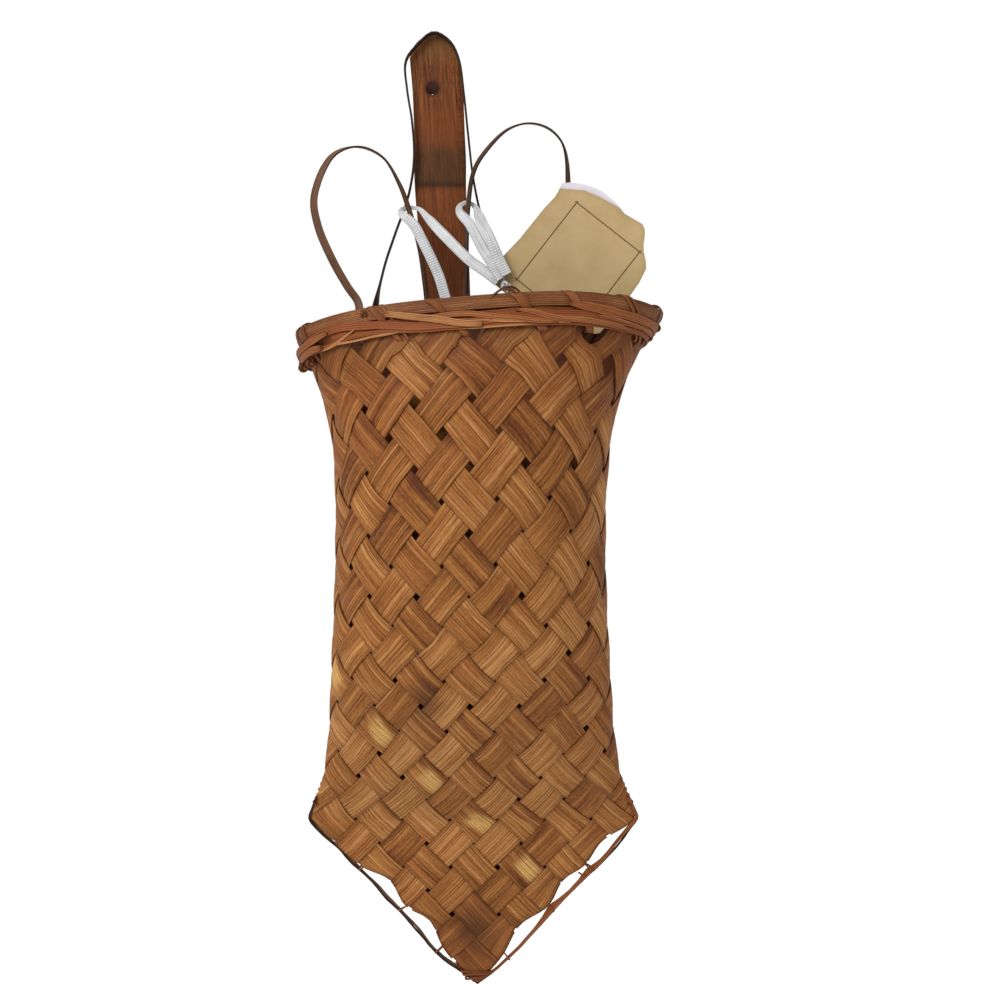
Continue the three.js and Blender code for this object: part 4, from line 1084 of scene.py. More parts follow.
# Loose strips round the rim: node, width, depth, thickness, tone, redness, share of the width at the ends,
# and places
RIM_STRIPS = [
    ("rim_strip_1", 2.2, 2.2, 0.8, 0.42, 0.5, 0.5, [
        (-3.9, 3.0), (-2.9, 2.3), (-2.38, 2.2), (-2.08, 3.4), (-1.6, 3.3), (-0.9, 2.1), (-0.3, 1.4),
        (0.4, 1.3),
        (1.0, 1.4), (1.6, 1.6), (2.4, 1.8), (3.2, 2.0), (4.2, 2.2), (5.6, 2.0), (7, 2.3), (8.4, 2.0),
        (9.4, 2.6),
        (10.1, 3.2)]),
    ("rim_strip_1", 1.3, 2.7, 0.6, 0.9, 0.0, 0.4, [(-2.75, 1.4), (-2.38, 2.0), (-2.08, 4.5), (-1.95, 5.8)]),
    ("rim_strip_1", 1.2, 2.6, 0.6, 0.85, 0.05, 0.4, [(-2.4, 2.6), (-2.2, 2.0), (-1.88, 1.6),
                                                     (-1.45, 1.6), (-1.2, 1.9)]),
    ("rim_strip_1", 0.9, 2.6, 0.5, 0.95, 0.0, 0.4, [(-0.2, 0.9), (0.38, 0.4), (0.88, 0.7)]),
    ("rim_strip_2", 3.6, 2.6, 0.9, 0.5, 0.85, 0.5, [
        (-3.7, 6.6), (-2.9, 6.6), (-2.3, 8.4), (-2.0, 7.6), (-1.6, 6.0), (-1.33, 4.7), (-0.88, 3.4),
        (-0.3, 3.2),
        (0.3, 3.8), (0.9, 4.4), (1.6, 4.8), (2.4, 4.6), (3.2, 5.0), (4.4, 5.1), (5.8, 4.6), (7, 4.8),
        (8.4, 4.6),
        (9.6, 6.2), (10.3, 6.6)]),
    ("rim_strip_2", 3.2, 3.4, 0.8, 0.85, 0.1, 0.9, [(-1.42, 9.9), (-1.02, 7.7), (-0.65, 5.5),
                                                    (-0.27, 3.1), (0.1, 2.0)]),
    ("rim_strip_3", 3.8, 3.3, 0.8, 0.62, 0.6, 0.35, [
        (1.4, 9.0), (1.7, 8.1), (1.88, 7.6), (2.33, 7.3), (2.8, 7.2), (3.3, 7.2), (4.0, 7.0), (5.2, 7.0),
        (6.4, 6.8),
        (7.6, 7.0), (8.8, 6.9)]),
    ("rim_strip_3", 2.5, 3.0, 0.8, 0.66, 0.35, 0.4, [
        (0.6, 7.0), (0.9, 5.8), (1.1, 4.2), (1.4, 3.0), (1.65, 2.8), (2.1, 2.2), (2.6, 1.9)]),
    ("rim_strip_3", 2.4, 2.9, 0.7, 0.58, 0.5, 0.4, [
        (-1.0, 5.6), (-0.6, 6.7), (-0.1, 6.5), (0.2, 5.2), (0.53, 3.8), (0.88, 2.5), (1.3, 1.8)]),
    ("rim_strip_3", 1.1, 2.8, 0.6, 0.92, 0.1, 0.4, [(-0.1, 4.0), (0.38, 2.8), (0.88, 2.2), (1.5, 1.6)]),
    ("rim_strip_3", 1.3, 3.2, 0.6, 0.75, 0.3, 0.4, [(1.9, 5.4), (2.4, 4.6), (2.9, 4.2), (3.4, 4.0)]),
    ("rim_strip_1", 6.6, 1.75, 0.4, 0.36, 0.45, 0.9, [
        (-3.9, 5.0), (-2.4, 4.9), (-0.9, 4.8), (0.6, 4.9), (2.1, 4.9), (3.6, 4.8), (5.1, 4.9),
        (6.6, 4.9), (8.1, 4.8),
        (9.6, 4.9), (10.05, 5.0)]),
    ("rim_strip_1", 3.6, 4.4, 1.0, 0.5, 0.3, 0.6, [(-2.6, 2.2), (-3.05, 2.6), (-3.5, 2.6), (-3.95, 2.6),
                                                   (-4.5, 2.6)]),
    ("rim_strip_2", 2.8, 4.9, 0.9, 0.52, 0.5, 0.5, [(-2.4, 6.4), (-3.0, 5.8), (-3.5, 5.2), (-4.0, 5.2),
                                                    (-4.6, 5.6)]),
]


def add_rim_strips():
    forms = {}
    for number, (node, width, depth, thickness, tone, red, tip, places) in enumerate(RIM_STRIPS):
        seed = 120 + number * 7
        points, up = rim_path(places, depth)
        along = path_lengths(points)
        taper = tip + (1 - tip) * smooth(np.minimum(along, along[-1] - along) / STRIP_TAPER)
        uneven = 1 + 0.13 * wander(seed + 5, along, 5, 70)
        points = points + up * (0.3 * wander(seed + 6, along, 4, 90))[:, None]
        form = forms.setdefault(node, Form())
        splint = Splint(seed, max(2, round(width / SLIVER_WIDTH)), ridge=0.08, crown=0.1, jitter=0.3)
        add_strip(form, points, up, width * taper * uneven, thickness, splint, seed, tone, (red, 0.05, 0))
    for node, form in forms.items():
        form.keep(node, "splints", RIM, "rim_splint")


add_rim_strips()

# Lashing: wraps round the rim, each with its place around, lean, width and how far it stands out
WRAPS = [
    (-6, 0.3, 3.6, 1.0), (-5, 0.3, 3.6, 1.0), (-4.1, 0.3, 3.6, 0.9), (-3.6, 0.05, 3.8, 0.8),
    (-3.3, -0.1, 3.4, 0.8),
    (-2.95, 0.1, 2.6, 0.9), (-1.46, 0.42, 2.4, 1.0), (-1.3, 0.4, 1.0, 1.0), (-0.47, 0.56, 2.8, 1.0),
    (0.8, 0.5, 3.9, 1.0), (1.62, 0.5, 3.4, 1.0), (2.62, 0.6, 1.2, 1.0), (2.74, 0.66, 1.2, 1.0),
    (3.3, 0.1, 3.6, 0.8),
    (3.56, 0.05, 3.8, 0.8), (4.2, 0.26, 3.6, 0.9), (5, 0.26, 3.6, 1.0), (6, 0.26, 3.6, 1.0),
    (7, 0.26, 3.6, 1.0),
]
# Section of a wrap: height on the rim and depth. It goes over the hoop, and under the strips below it.
WRAP_ROUTE = [
    (-1.6, 0.0), (-0.6, 1.3), (1.4, 1.5), (4.0, 1.5), (7.0, 1.7), (8.6, 3.0), (10.4, 3.7), (12.4, 3.7),
    (14.0, 3.1),
    (14.9, 1.4), (15.0, -1.4), (14.4, -4.1), (11, -4.6), (6.6, -4.6), (2.6, -4.3), (-1.0, -2.4),
]
# A curl of dark splint that stands on the rim, and knots of the lashing: place around, height, depth, size
CURL_ROUTE = [(0.24, 13.6), (0.28, 15.4), (0.38, 17.0), (0.5, 17.3), (0.6, 15.8), (0.66, 13.2)]
RIM_KNOTS = [(-3.35, 0.0, 3.8, 2.3), (-3.05, -0.6, 2.6, 2.0), (3.5, 8.0, 2.0, 2.2),
             (3.42, 3.0, 1.6, 1.8), (-1.76, 11.6, 3.4, 1.5)]


CURL_DEPTH = 2.4
CURL_RADII = (0.5, 0.45)
# A knot's shares of its size: its coil, the coil's lobes and depth, and its strand
KNOT_SHARES = (0.62, 0.38, 0.5)
KNOT_STRAND_SHARE = 0.36
CURL_SHIFT = np.array([-1.2, -0.5, -0.9])
WRAP_STEPS = 52
WRAP_THICKNESS = 0.6
WRAP_END = 2.8


def add_wraps():
    form = Form()
    height, outwards = spline(WRAP_ROUTE, WRAP_STEPS, closed=True).T
    row = rim_row(height)
    for number, (around, lean, width, stand) in enumerate(WRAPS):
        seed = 200 + number * 3
        leaned = around - lean * (height - RIM_TOP / 2) / RIM_TOP
        depth = outwards * np.where(outwards > 0, stand, 1) + 0.15 * wander(seed, height, 3, 21)
        points = wall_point(leaned, row, depth)
        sideways = surface_point(leaned + PROBE, row) - surface_point(leaned - PROBE, row)
        lumpy = width * (1 + 0.1 * wander(seed + 1, height, 3, 17))
        splint = Splint(seed, max(2, round(width)), ridge=0.08, crown=0.12)
        tone, cast = (0.42, (0.05, 0.3, 0)) if abs(around) > WRAP_END else (0.55, (0.3, 0.05, 0))
        add_strip(form, points, unit(sideways), lumpy, WRAP_THICKNESS, splint, seed, tone, cast, closed=True)
    curl = np.array(CURL_ROUTE)
    path = spline(wall_point(curl[:, 0], rim_row(curl[:, 1]), np.full(len(curl), CURL_DEPTH)), 40)
    add_tube(form, path, CURL_RADII[0], 281, 7, 0.2, (0, 0.6, 0))
    add_tube(form, path + CURL_SHIFT, CURL_RADII[1], 282, 7, 0.3, (0, 0.5, 0))
    for number, (around, height, depth, size) in enumerate(RIM_KNOTS):
        heart = wall_point(np.array([around]), rim_row(np.array([height])), np.array([depth]))[0]
        coil = heart + three_lobed(*(share * size for share in KNOT_SHARES), 90)
        strand = KNOT_STRAND_SHARE * size
        add_tube(form, coil, strand, 290 + number, 8, 0.34, (0.15, 0.5, 0), closed=True, squeeze=0.6)
    form.keep("rim_lashing", "wraps", RIM, "rim_splint")


add_wraps()

# Handle loops, with the routes of the part's source
LOOP_THICKNESS = 0.9
FOOT_ROWS = 12.14
FOOT_DEPTH = -1.67
FACE_ON = 0.1
HALF_TURNED = 0.95
WIDE_TURNED = 0.65
EDGE_ON = math.pi / 2
SIDE_LOOP_DEPTH = 12
LOOPS = [
    dict(
        node="loop_left", left=-54, span=53, top=-28.8, rise=78, depth=SIDE_LOOP_DEPTH,
        feet=(-4.85, -6.17), twists=(FACE_ON, EDGE_ON, HALF_TURNED), widths=(4.2, 2.9, 3.0),
        tone=0.82, red=0.35,
        shares=[(0.385, 0.075), (0.29, 0.175), (0.16, 0.33), (0.03, 0.54), (0, 0.71), (0.16, 0.95),
                (0.38, 1),
                (0.59, 0.94), (0.74, 0.78), (0.85, 0.57), (0.92, 0.39)],
    ),
    dict(
        node="loop_centre", left=-26.9, span=64, top=25.2, rise=132, depth=5.5,
        feet=(-5.12, 6.18), twists=(EDGE_ON, EDGE_ON, EDGE_ON), widths=(3.6, 3.6, 3.6), tone=0.34, red=0.0,
        shares=[(0.07, 0.17), (0.15, 0.29), (0.25, 0.43), (0.29, 0.56), (0.275, 0.69), (0.24, 0.8),
                (0.23, 0.9),
                (0.31, 0.955), (0.43, 1), (0.545, 0.97), (0.61, 0.91), (0.65, 0.78), (0.68, 0.64),
                (0.72, 0.48),
                (0.79, 0.33), (0.9, 0.19)],
    ),
    dict(
        node="loop_right", left=15.3, span=47.4, top=-18, rise=89, depth=SIDE_LOOP_DEPTH,
        feet=(7.24, 5.76), twists=(HALF_TURNED, EDGE_ON, WIDE_TURNED), widths=(2.8, 2.6, 3.0),
        tone=0.7, red=0.1,
        shares=[(0.01, 0.25), (0.03, 0.57), (0.09, 0.76), (0.22, 0.87), (0.42, 0.97), (0.63, 1),
                (0.82, 0.97),
                (0.95, 0.89), (1, 0.7), (0.95, 0.4)],
    ),
]
FOOT_SHARE = 0.053
TURN_SHARE = 0.08
TOP_SHARE = 0.55
TWIST_SHARE = 0.16
LOOP_STEPS = 130


def add_loop(seed, node, left, span, top, rise, depth, feet, twists, widths, tone, red, shares):
    """A loop between two feet, each an amount around. Its shares go across its span and up its rise."""
    rows = np.array([FOOT_ROWS, float(rim_row(RIM_TOP))])
    first, last = (wall_point(np.full(2, around), rows, np.full(2, FOOT_DEPTH)) for around in feet)
    free = [(left + x * span, -depth, top - (1 - z) * rise) for x, z in shares]
    path = spline(np.concatenate([first, free, last[::-1]]), LOOP_STEPS)
    t = np.linspace(0, 1, len(path))
    start, middle, end = twists
    leg = np.where(t < TOP_SHARE, start, end)
    twist = (middle + (leg - middle) * smooth(np.abs(t - TOP_SHARE) / TWIST_SHARE))[:, None]
    sideways = unit(np.cross(tangents(path, False), TOWARDS_WALL))
    across = sideways * np.cos(twist) + TOWARDS_WALL * np.sin(twist)
    # Each foot lies flat against the wall
    share = smooth((np.minimum(t, 1 - t) - FOOT_SHARE) / TURN_SHARE)[:, None]
    for near, around in zip((t < 0.5, t >= 0.5), feet):
        step = surface_point(around + 1.0, WEAVE_ROWS) - surface_point(around - 1.0, WEAVE_ROWS)
        wallwise = unit(step * (1, 1, 0))
        turned = np.where((across @ wallwise)[:, None] < 0, -wallwise, wallwise)
        across = np.where(near[:, None], turned * (1 - share) + across * share, across)
    width = np.interp(t, (0, TOP_SHARE, 1), widths) * (1 + 0.05 * wander(seed, t, 5, 1))
    thickness = LOOP_THICKNESS * (1 + 0.12 * wander(seed + 1, t, 6, 1))
    form = Form()
    splint = Splint(seed, 5, ridge=0.07, crown=0.12)
    add_strip(form, path, unit(across), width, thickness, splint, seed, tone, (red, 0, 0))
    form.keep(node, "splint", DARK, "dark_splint")


for number, loop in enumerate(LOOPS):
    add_loop(300 + number * 11, **loop)


# Plates: sheets with an outline and a hole, with a front and a back face
FILLING_GAP_SHARE = 1.5
JOIN_DISTANCE = 1e-5


def inward(outline, distance):
    """An outline drawn in by a distance. Points run anticlockwise."""
    before = np.roll(outline, 1, axis=0)
    after = np.roll(outline, -1, axis=0)
    along = unit(after - before)
    return outline + np.stack([-along[:, 1], along[:, 0]], axis=1) * distance


def add_plate(form, outline, hole, spacing, insets, front, back, grain, tone, cast):
    """A closed sheet. Front and back give points for places in the sheet's own plane."""
    loops = [outline, hole[::-1]]
    boundary = np.concatenate(loops)
    inner = [inward(loop, distance) for loop in loops for distance in insets]
    axes = [np.arange(*span) for span in zip(outline.min(axis=0), outline.max(axis=0), spacing)]
    filling = np.stack(np.meshgrid(*axes), axis=-1).reshape(-1, 2)
    gap = np.linalg.norm(filling[:, None] - boundary, axis=-1).min(axis=1)
    filling = filling[gap > insets[-1] * FILLING_GAP_SHARE]
    edges = []
    for loop in loops:
        start = len(edges)
        edges += [(start + i, start + (i + 1) % len(loop)) for i in range(len(loop))]
    places = np.concatenate([boundary, *inner, filling])
    vertices, _, faces, *_ = delaunay_2d_cdt([tuple(p) for p in places], edges, [], 0, JOIN_DISTANCE)
    flat = np.array([(v.x, v.y) for v in vertices])
    middles = [flat[list(face)].mean(axis=0) for face in faces]
    faces = [f for f, middle in zip(faces, middles) if inside(middle, outline) and not inside(middle, hole)]
    used = sorted({i for face in faces for i in face})
    renumbered = {old: new for new, old in enumerate(used)}
    flat = flat[used]
    faces = [tuple(renumbered[i] for i in face) for face in faces]
    # The sides of the sheet stand on the edges that only one face has
    sides = [(face[i], face[(i + 1) % 3]) for face in faces for i in range(3)]
    known = set(sides)
    n = len(flat)
    closed = faces + [tuple(i + n for i in reversed(face)) for face in faces]
    closed += [(b, a, a + n, b + n) for a, b in sides if (b, a) not in known]
    doubled = np.concatenate([flat, flat])
    form.add(np.concatenate([front(flat), back(flat)]), closed, grain(doubled), tone(doubled), cast(doubled))


def inside(place, outline):
    x, y = place
    following = np.roll(outline, -1, axis=0)
    crosses = (outline[:, 1] > y) != (following[:, 1] > y)
    run, rise = (following - outline).T
    at = outline[:, 0] + (y - outline[:, 1]) * run / np.where(rise == 0, LEAST_LENGTH, rise)
    return bool((crosses & (x < at)).sum() % 2)


def edge_distance(places, outline):
    """Distance of places from the sides of an outline."""
    step = np.roll(outline, -1, axis=0) - outline
    away = places[:, None] - outline
    share = np.clip((away * step).sum(-1) / np.maximum((step * step).sum(-1), LEAST_LENGTH), 0, 1)
    return np.linalg.norm(away - share[..., None] * step, axis=-1).min(axis=1)


# Hanging slat
SLAT_THICKNESS = 3
SLAT_TAIL = -215
SLAT_LEFT = [(-10.6, 14.2), (-9.3, -0.6), (-8.7, -15.2), (-8.3, -26.4), (-8.6, -35.4), (-7.9, -50.6),
             (-7.1, -59.4),
             (-4.9, -83), (-2.3, -101), (0.9, -130), (5.6, -180), (8.9, -206)]
SLAT_RIGHT = [(11.8, 16.4), (14, 5.2), (14.5, -6.4), (15.1, -22.2), (15.6, -32.8), (15.6, -44.2),
              (15.8, -52.2),
              (17.1, -82.4), (17.7, -101), (18.5, -130), (20, -180), (20.8, -206)]
SLAT_HEAD = [(11.8, 16.4), (8.2, 22), (1.8, 25.2), (-5, 23.5), (-9.2, 19), (-10.6, 14.2)]
SLAT_TAIL_END = [(8.9, -206), (10.4, -211.6), (15, -214.6), (19.4, -211.6), (20.8, -206)]
NAIL_HOLE_RADIUS = 2.95
# The nail hole narrows at the back to a small pit, so that it shows its own walls, painted dark as the shadow in the
# hole
NAIL_PIT_RADIUS = 0.5
NAIL_PIT_DROP = 2.6
NODE_TOP = -32
NODE_FOOT = -46.6
SLAT_ROUND = 0.9
SLAT_SPACING = (2.0, 1.5)
SLAT_INSETS = (0.25, 0.6, 1.0)
NODE_FOOT_BLEND = 1.6
NODE_TOP_BLEND = 9
HOLE_SHADOW_RADIUS = 3.6
SLAT_CROWN = 0.35
SLAT_HALF_WIDTH = 11
SLAT_MIDDLE_HEIGHTS = (SLAT_TAIL, 24)
SLAT_MIDDLES = (15, 2)
SLAT_STEP = 4
SLAT_END_STEP = 1.6
NODE_SWELL = 0.22
GRAIN_LEAN = 0.06


def polyline(places, step):
    return spline(places, max(2, int(path_lengths(np.array(places, float))[-1] / step)))


def circle(radius, count, uneven=0.0, seed=0):
    angle = angles(count)
    reach = radius * (1 + uneven * wander(seed, angle, 4, 2 * math.pi))
    return np.stack([np.cos(angle) * reach, np.sin(angle) * reach], axis=1)


def slat():
    left, right = polyline(SLAT_LEFT, SLAT_STEP), polyline(SLAT_RIGHT, SLAT_STEP)
    head, tail = polyline(SLAT_HEAD, SLAT_END_STEP), polyline(SLAT_TAIL_END, SLAT_END_STEP)
    outline = np.concatenate([right[::-1][:-1], head[:-1], left[:-1], tail[:-1]])
    hole = circle(NAIL_HOLE_RADIUS, 28, 0.04, 5)

    def node_swell(z):
        return smooth((z - NODE_FOOT) / NODE_FOOT_BLEND) * (1 - smooth((z - NODE_TOP) / NODE_TOP_BLEND))

    def front(flat):
        x, z = flat.T
        edge = np.clip(edge_distance(flat, outline) / SLAT_ROUND, 0, 1)
        rounded = SLAT_ROUND * (1 - np.sqrt(1 - (1 - edge) ** 2))
        middle = np.interp(z, SLAT_MIDDLE_HEIGHTS, SLAT_MIDDLES)
        crown = SLAT_CROWN * ((x - middle) / SLAT_HALF_WIDTH) ** 2
        y = -SLAT_THICKNESS + rounded + crown - NODE_SWELL * node_swell(z)
        return np.stack([x, y + 0.05 * wander(401, x, 5, 9) * (edge > 0.9), z], axis=1)

    # Behind the hole the back is drawn in to a narrow pit, which stands in for the shade seen through the hole
    def back(flat):
        spread = np.linalg.norm(flat, axis=1)
        rim = spread < NAIL_HOLE_RADIUS * 1.06
        narrow = np.where(rim, NAIL_PIT_RADIUS / np.maximum(spread, 0.1), 1)
        x, z = flat.T * narrow
        return np.stack([x, np.zeros(len(x)), z - NAIL_PIT_DROP * (narrow < 1)], axis=1)

    def grain(flat):
        return flat[:, 0] + GRAIN_LEAN * flat[:, 1], flat[:, 1], 4.0

    def tone(flat):
        z = flat[:, 1]
        node = node_swell(z)
        tip = smooth((z - 8) / 14)
        # Darker on the node: painted shade where the swelling turns its face down from the light
        value = 0.5 - 0.14 * node + 0.2 * tip + 0.06 * wander(402, z, 4, 60)
        return value, 0.4 * node + 0.6 * tip, 1

    def cast(flat):
        z = flat[:, 1]
        node = node_swell(z)
        # Painted shadow in and round the nail hole
        hole_shadow = np.exp(-((np.linalg.norm(flat, axis=1) / HOLE_SHADOW_RADIUS) ** 4))
        # A darker band at the node's foot, painted shade where the swelling ends
        band = bell((z - NODE_FOOT - 1.8) / 1.9)
        # Painted shade on the node and in the nail hole, and darker towards the tail
        shade_and_stain = np.clip(0.3 * node + 0.5 * band + 1.4 * hole_shadow + 0.2 * smooth((-70 - z) / 25), 0, 1)
        return np.clip(0.55 * smooth((-z - 2) / 12) * (1 - node), 0, 1), shade_and_stain, 0

    form = Form()
    add_plate(form, outline, hole, SLAT_SPACING, SLAT_INSETS, front, back, grain, tone, cast)
    form.keep("hanging_slat", "strip", SLAT, "slat", crisp=40)


slat()

# Ties of the slat: through the weave behind the basket and round the slat
SLAT_TIE_ROWS = (11, 9)
SLAT_TIE_INNER_DEPTH = 1.17
SLAT_TIE_THICKNESS = 0.7
TIE_LEG_Y = -0.65
TIE_BOW = 0.4
TIE_SIDE_BOW = 0.3
TIE_PITCH = 0.36
TIE_RADIUS = 0.34


def add_slat_ties():
    for number, row in enumerate(SLAT_TIE_ROWS):
        right = surface_point(HALF_ROUND, float(row))
        left = surface_point(1 - HALF_ROUND, float(row))
        middle = (left + right) / 2
        corners = np.array([left, middle, right, right, right, middle, left, left])
        leg = np.full(3, TIE_LEG_Y)
        inner = corners[:3, 1] - SLAT_TIE_INNER_DEPTH - SLAT_TIE_THICKNESS / 2 - np.array([0, TIE_BOW, 0])
        corners[:, 1] = [*inner, (right[1] + TIE_LEG_Y) / 2, *leg, (left[1] + TIE_LEG_Y) / 2]
        corners[[3, 7], 0] += (TIE_SIDE_BOW, -TIE_SIDE_BOW)
        path = spline(corners, 60, closed=True)
        form = Form()
        for shift, seed in ((-TIE_PITCH, 1), (TIE_PITCH, 2)):
            turn = path + np.array([0, 0, shift])
            add_tube(form, turn, TIE_RADIUS, 500 + number * 9 + seed, 6, 0.6, closed=True)
        form.keep(f"slat_tie_{number + 1}", "strands", DARK, "dark_splint")


add_slat_ties()

# Cords along the folded edges: how far out of the fold their outer side stands, by row
LEFT_REACH = [(0.02, 0.6), (0.38, 1.9), (0.63, 3.4), (0.87, 3.7), (1.12, 2.6), (1.37, 2.1), (1.62, 1.8),
              (1.87, 1.9),
              (2.11, 1.2), (2.36, 1.4), (2.6, 1.6), (2.86, 1.2), (3.1, 1.9), (3.35, 1.5), (3.5, 0.9),
              (4.1, 0.6)]
RIGHT_REACH = [(0.02, 0.6), (0.38, 2.4), (0.63, 2.8), (0.87, 3.3), (1.12, 3.0), (1.37, 2.9), (1.62, 2.5),
               (1.87, 2.4),
               (2.11, 2.4), (2.36, 2.7), (2.6, 3.3), (2.86, 3.2), (3.1, 2.6), (3.35, 1.2), (3.5, 0.9),
               (4.1, 0.6)]
RIGHT_STRIP_WIDTHS = [(0.1, 1.2), (0.6, 1.5), (1.2, 1.7), (1.45, 2.6), (1.62, 3.6), (1.8, 2.4),
                      (2.0, 1.7), (2.2, 2.0),
                      (2.42, 3.2), (2.65, 2.0), (2.9, 1.6), (3.3, 1.7), (4.0, 1.5)]
CORD_NODES = {-1: (2.44, 1.58, 0.76), 1: (2.46, 2.3, 1.6, 0.62)}
CORD_TOP_ROW = 4.0
CORD_END_ROW = 0.03
CORD_CORNER_STAND = 1.6
CORNER_TIE_ROW = FOLD_ROWS + 0.35
CORNER_TIE_INNER = 2.2
CORNER_TIE_RADIUS = 0.44


def edge_path(side, rows, reach, inset, depth, seed):
    """Path along a folded edge, inset from the cord's outer side. It goes in front of the lower corner."""
    out = np.interp(rows, *np.array(reach).T) - inset + 0.12 * wander(seed, rows, 4, 3)
    slant = smooth((FOLD_ROWS + 0.25 - rows) / 0.5)
    outwards = unit(np.stack([np.full(rows.shape, float(side)), np.zeros(rows.shape), -slant], axis=1))
    path = crease_point(side, rows) + outwards * out[:, None]
    path[:, 1] += depth - CORD_CORNER_STAND * smooth((rows - 3.0) / 0.6)
    return eased(path)


def eased(path, reach=5):
    """A path with its sharp bends rounded off."""
    weights = np.hanning(2 * reach + 1)
    padded = np.concatenate([path[:1].repeat(reach, 0), path, path[-1:].repeat(reach, 0)])
    columns = [np.convolve(padded[:, k], weights / weights.sum(), "valid") for k in range(3)]
    return np.stack(columns, axis=1)


def add_edge_cords():
    rows = np.linspace(CORD_TOP_ROW, CORD_END_ROW, 150)
    twist = 0.35 * np.sin(rows * 9)
    for node, side, reach, inset, depth, radius, seed, tone, cast in (
        ("left_a", -1, LEFT_REACH, 0.55 + 0.3 * twist, twist - 0.5, 0.56, 601, 0.42, (0.05, 0.3, 0)),
        ("left_b", -1, LEFT_REACH, 1.15 - 0.3 * twist, 0.5 - twist, 0.62, 602, 0.85, (0.1, 0.1, 0)),
        ("right_a", 1, RIGHT_REACH, 0.5, 0.5, 0.5, 604, 0.3, (0.05, 0.3, 0)),
    ):
        form = Form()
        add_tube(form, edge_path(side, rows, reach, inset, depth, seed), radius, seed, 7, tone, cast)
        form.keep(f"edge_cord_{node}", "strand", DARK, "splint")
    form = Form()
    width = np.interp(rows, *np.array(RIGHT_STRIP_WIDTHS).T)
    inset = 0.3 + width / 2 + 0.9 * bell((rows - 3.0) / 0.3)
    path = edge_path(1, rows, RIGHT_REACH, inset, -0.6, 605)
    across = unit(np.cross(tangents(path, False), TOWARDS_WALL))
    add_strip(form, path, across, width, 0.7, Splint(606, 3, 0.08, 0.1), 606, 0.45, (0.45, 0.1, 0))
    form.keep("edge_cord_right_b", "strand", RIM, "splint")


add_edge_cords()


def add_small_ties():
    """Ties at the lower corners, and where the cords are fastened to the weave."""
    angle = angles(30)
    for word, side, reach in (("left", -1, LEFT_REACH), ("right", 1, RIGHT_REACH)):
        form = Form()
        for number, row in enumerate((CORNER_TIE_ROW,) + CORD_NODES[side]):
            low = row < FOLD_ROWS
            out = float(np.interp(row, *np.array(reach).T))
            half = (out + CORNER_TIE_INNER) / 2
            direction = np.array([side, 0, -low]) / math.hypot(1, low)
            ring = direction * ((out - half) + half * np.cos(angle))[:, None]
            ring += crease_point(side, np.array([row]))
            ring[:, 1] += (2.0 if low else 2.5) * np.sin(angle)
            ring[:, 2] += 0.7 * np.sin(angle + number)
            cast = (0.4, 0.15 if low else 0.75, 0)
            add_tube(form, ring, CORNER_TIE_RADIUS, 640 + number + side, 7, 0.4, cast, closed=True)
        form.keep(f"corner_tie_{word}", "loops", RIM, "dark_splint")


add_small_ties()

TIP_WRAP_RISE = 3.6
TIP_WRAP_PITCH = 1.05
TIP_WRAP_TURNS = 3
TIP_WRAP_SIDE = 1.7
TIP_WRAP_FRONT = 1.5
TIP_WRAP_RADIUS = 0.55


def add_tip_wrap():
    form = Form()
    angle = angles(60)
    wide, deep = (np.sign(v) * np.abs(v) ** 0.5 for v in (np.cos(angle), np.sin(angle)))
    for number in range(TIP_WRAP_TURNS):
        height = TIP_WRAP_RISE + TIP_WRAP_PITCH * number
        _, a, b, centre = section_values(np.array([height * FOLD_ROWS / CORNER_HEIGHT]))
        x = AXIS_X + sway_at(height) + (a[0] + TIP_WRAP_SIDE) * wide
        y = centre[0] + (b[0] + TIP_WRAP_FRONT) * deep
        uneven = 0.8 * np.cos(angle + number) + 0.3 * wander(700 + number, angle, 3, 2 * math.pi)
        z = height - NAIL_TO_TIP + uneven
        ring = np.stack([x, y, z], axis=1)
        add_tube(form, ring, TIP_WRAP_RADIUS, 700 + number, 7, 0.4, (0.5, 0.35, 0), closed=True)
    form.keep("tip_wrap", "turns", RIM, "dark_splint")


add_tip_wrap()

# Paper tag and card, in the tag's own frame: the hole is the origin and x runs to the lower right
TAG_THICKNESS = 0.3
TAG_HOLE_RADIUS = 1.7
CARD_DEPTH = 0.6
CARD_THICKNESS = 0.3
CURL = 2.6
SHEET_SPACING = (2.4, 2.4)
SHEET_INSETS = (0.5,)
SHEET_CRISP_DEGREES = 50
DARK_EDGE_WIDTH = 1.4
BORDER_LOW = (6.9, 1.8)
BORDER_HIGH = (43.5, 44.9)
BORDER_WIDTH = 0.5
BORDER_OVERSHOOT = 0.8
BORDER_THICKNESS = 0.12
BORDER_STAND = 0.02
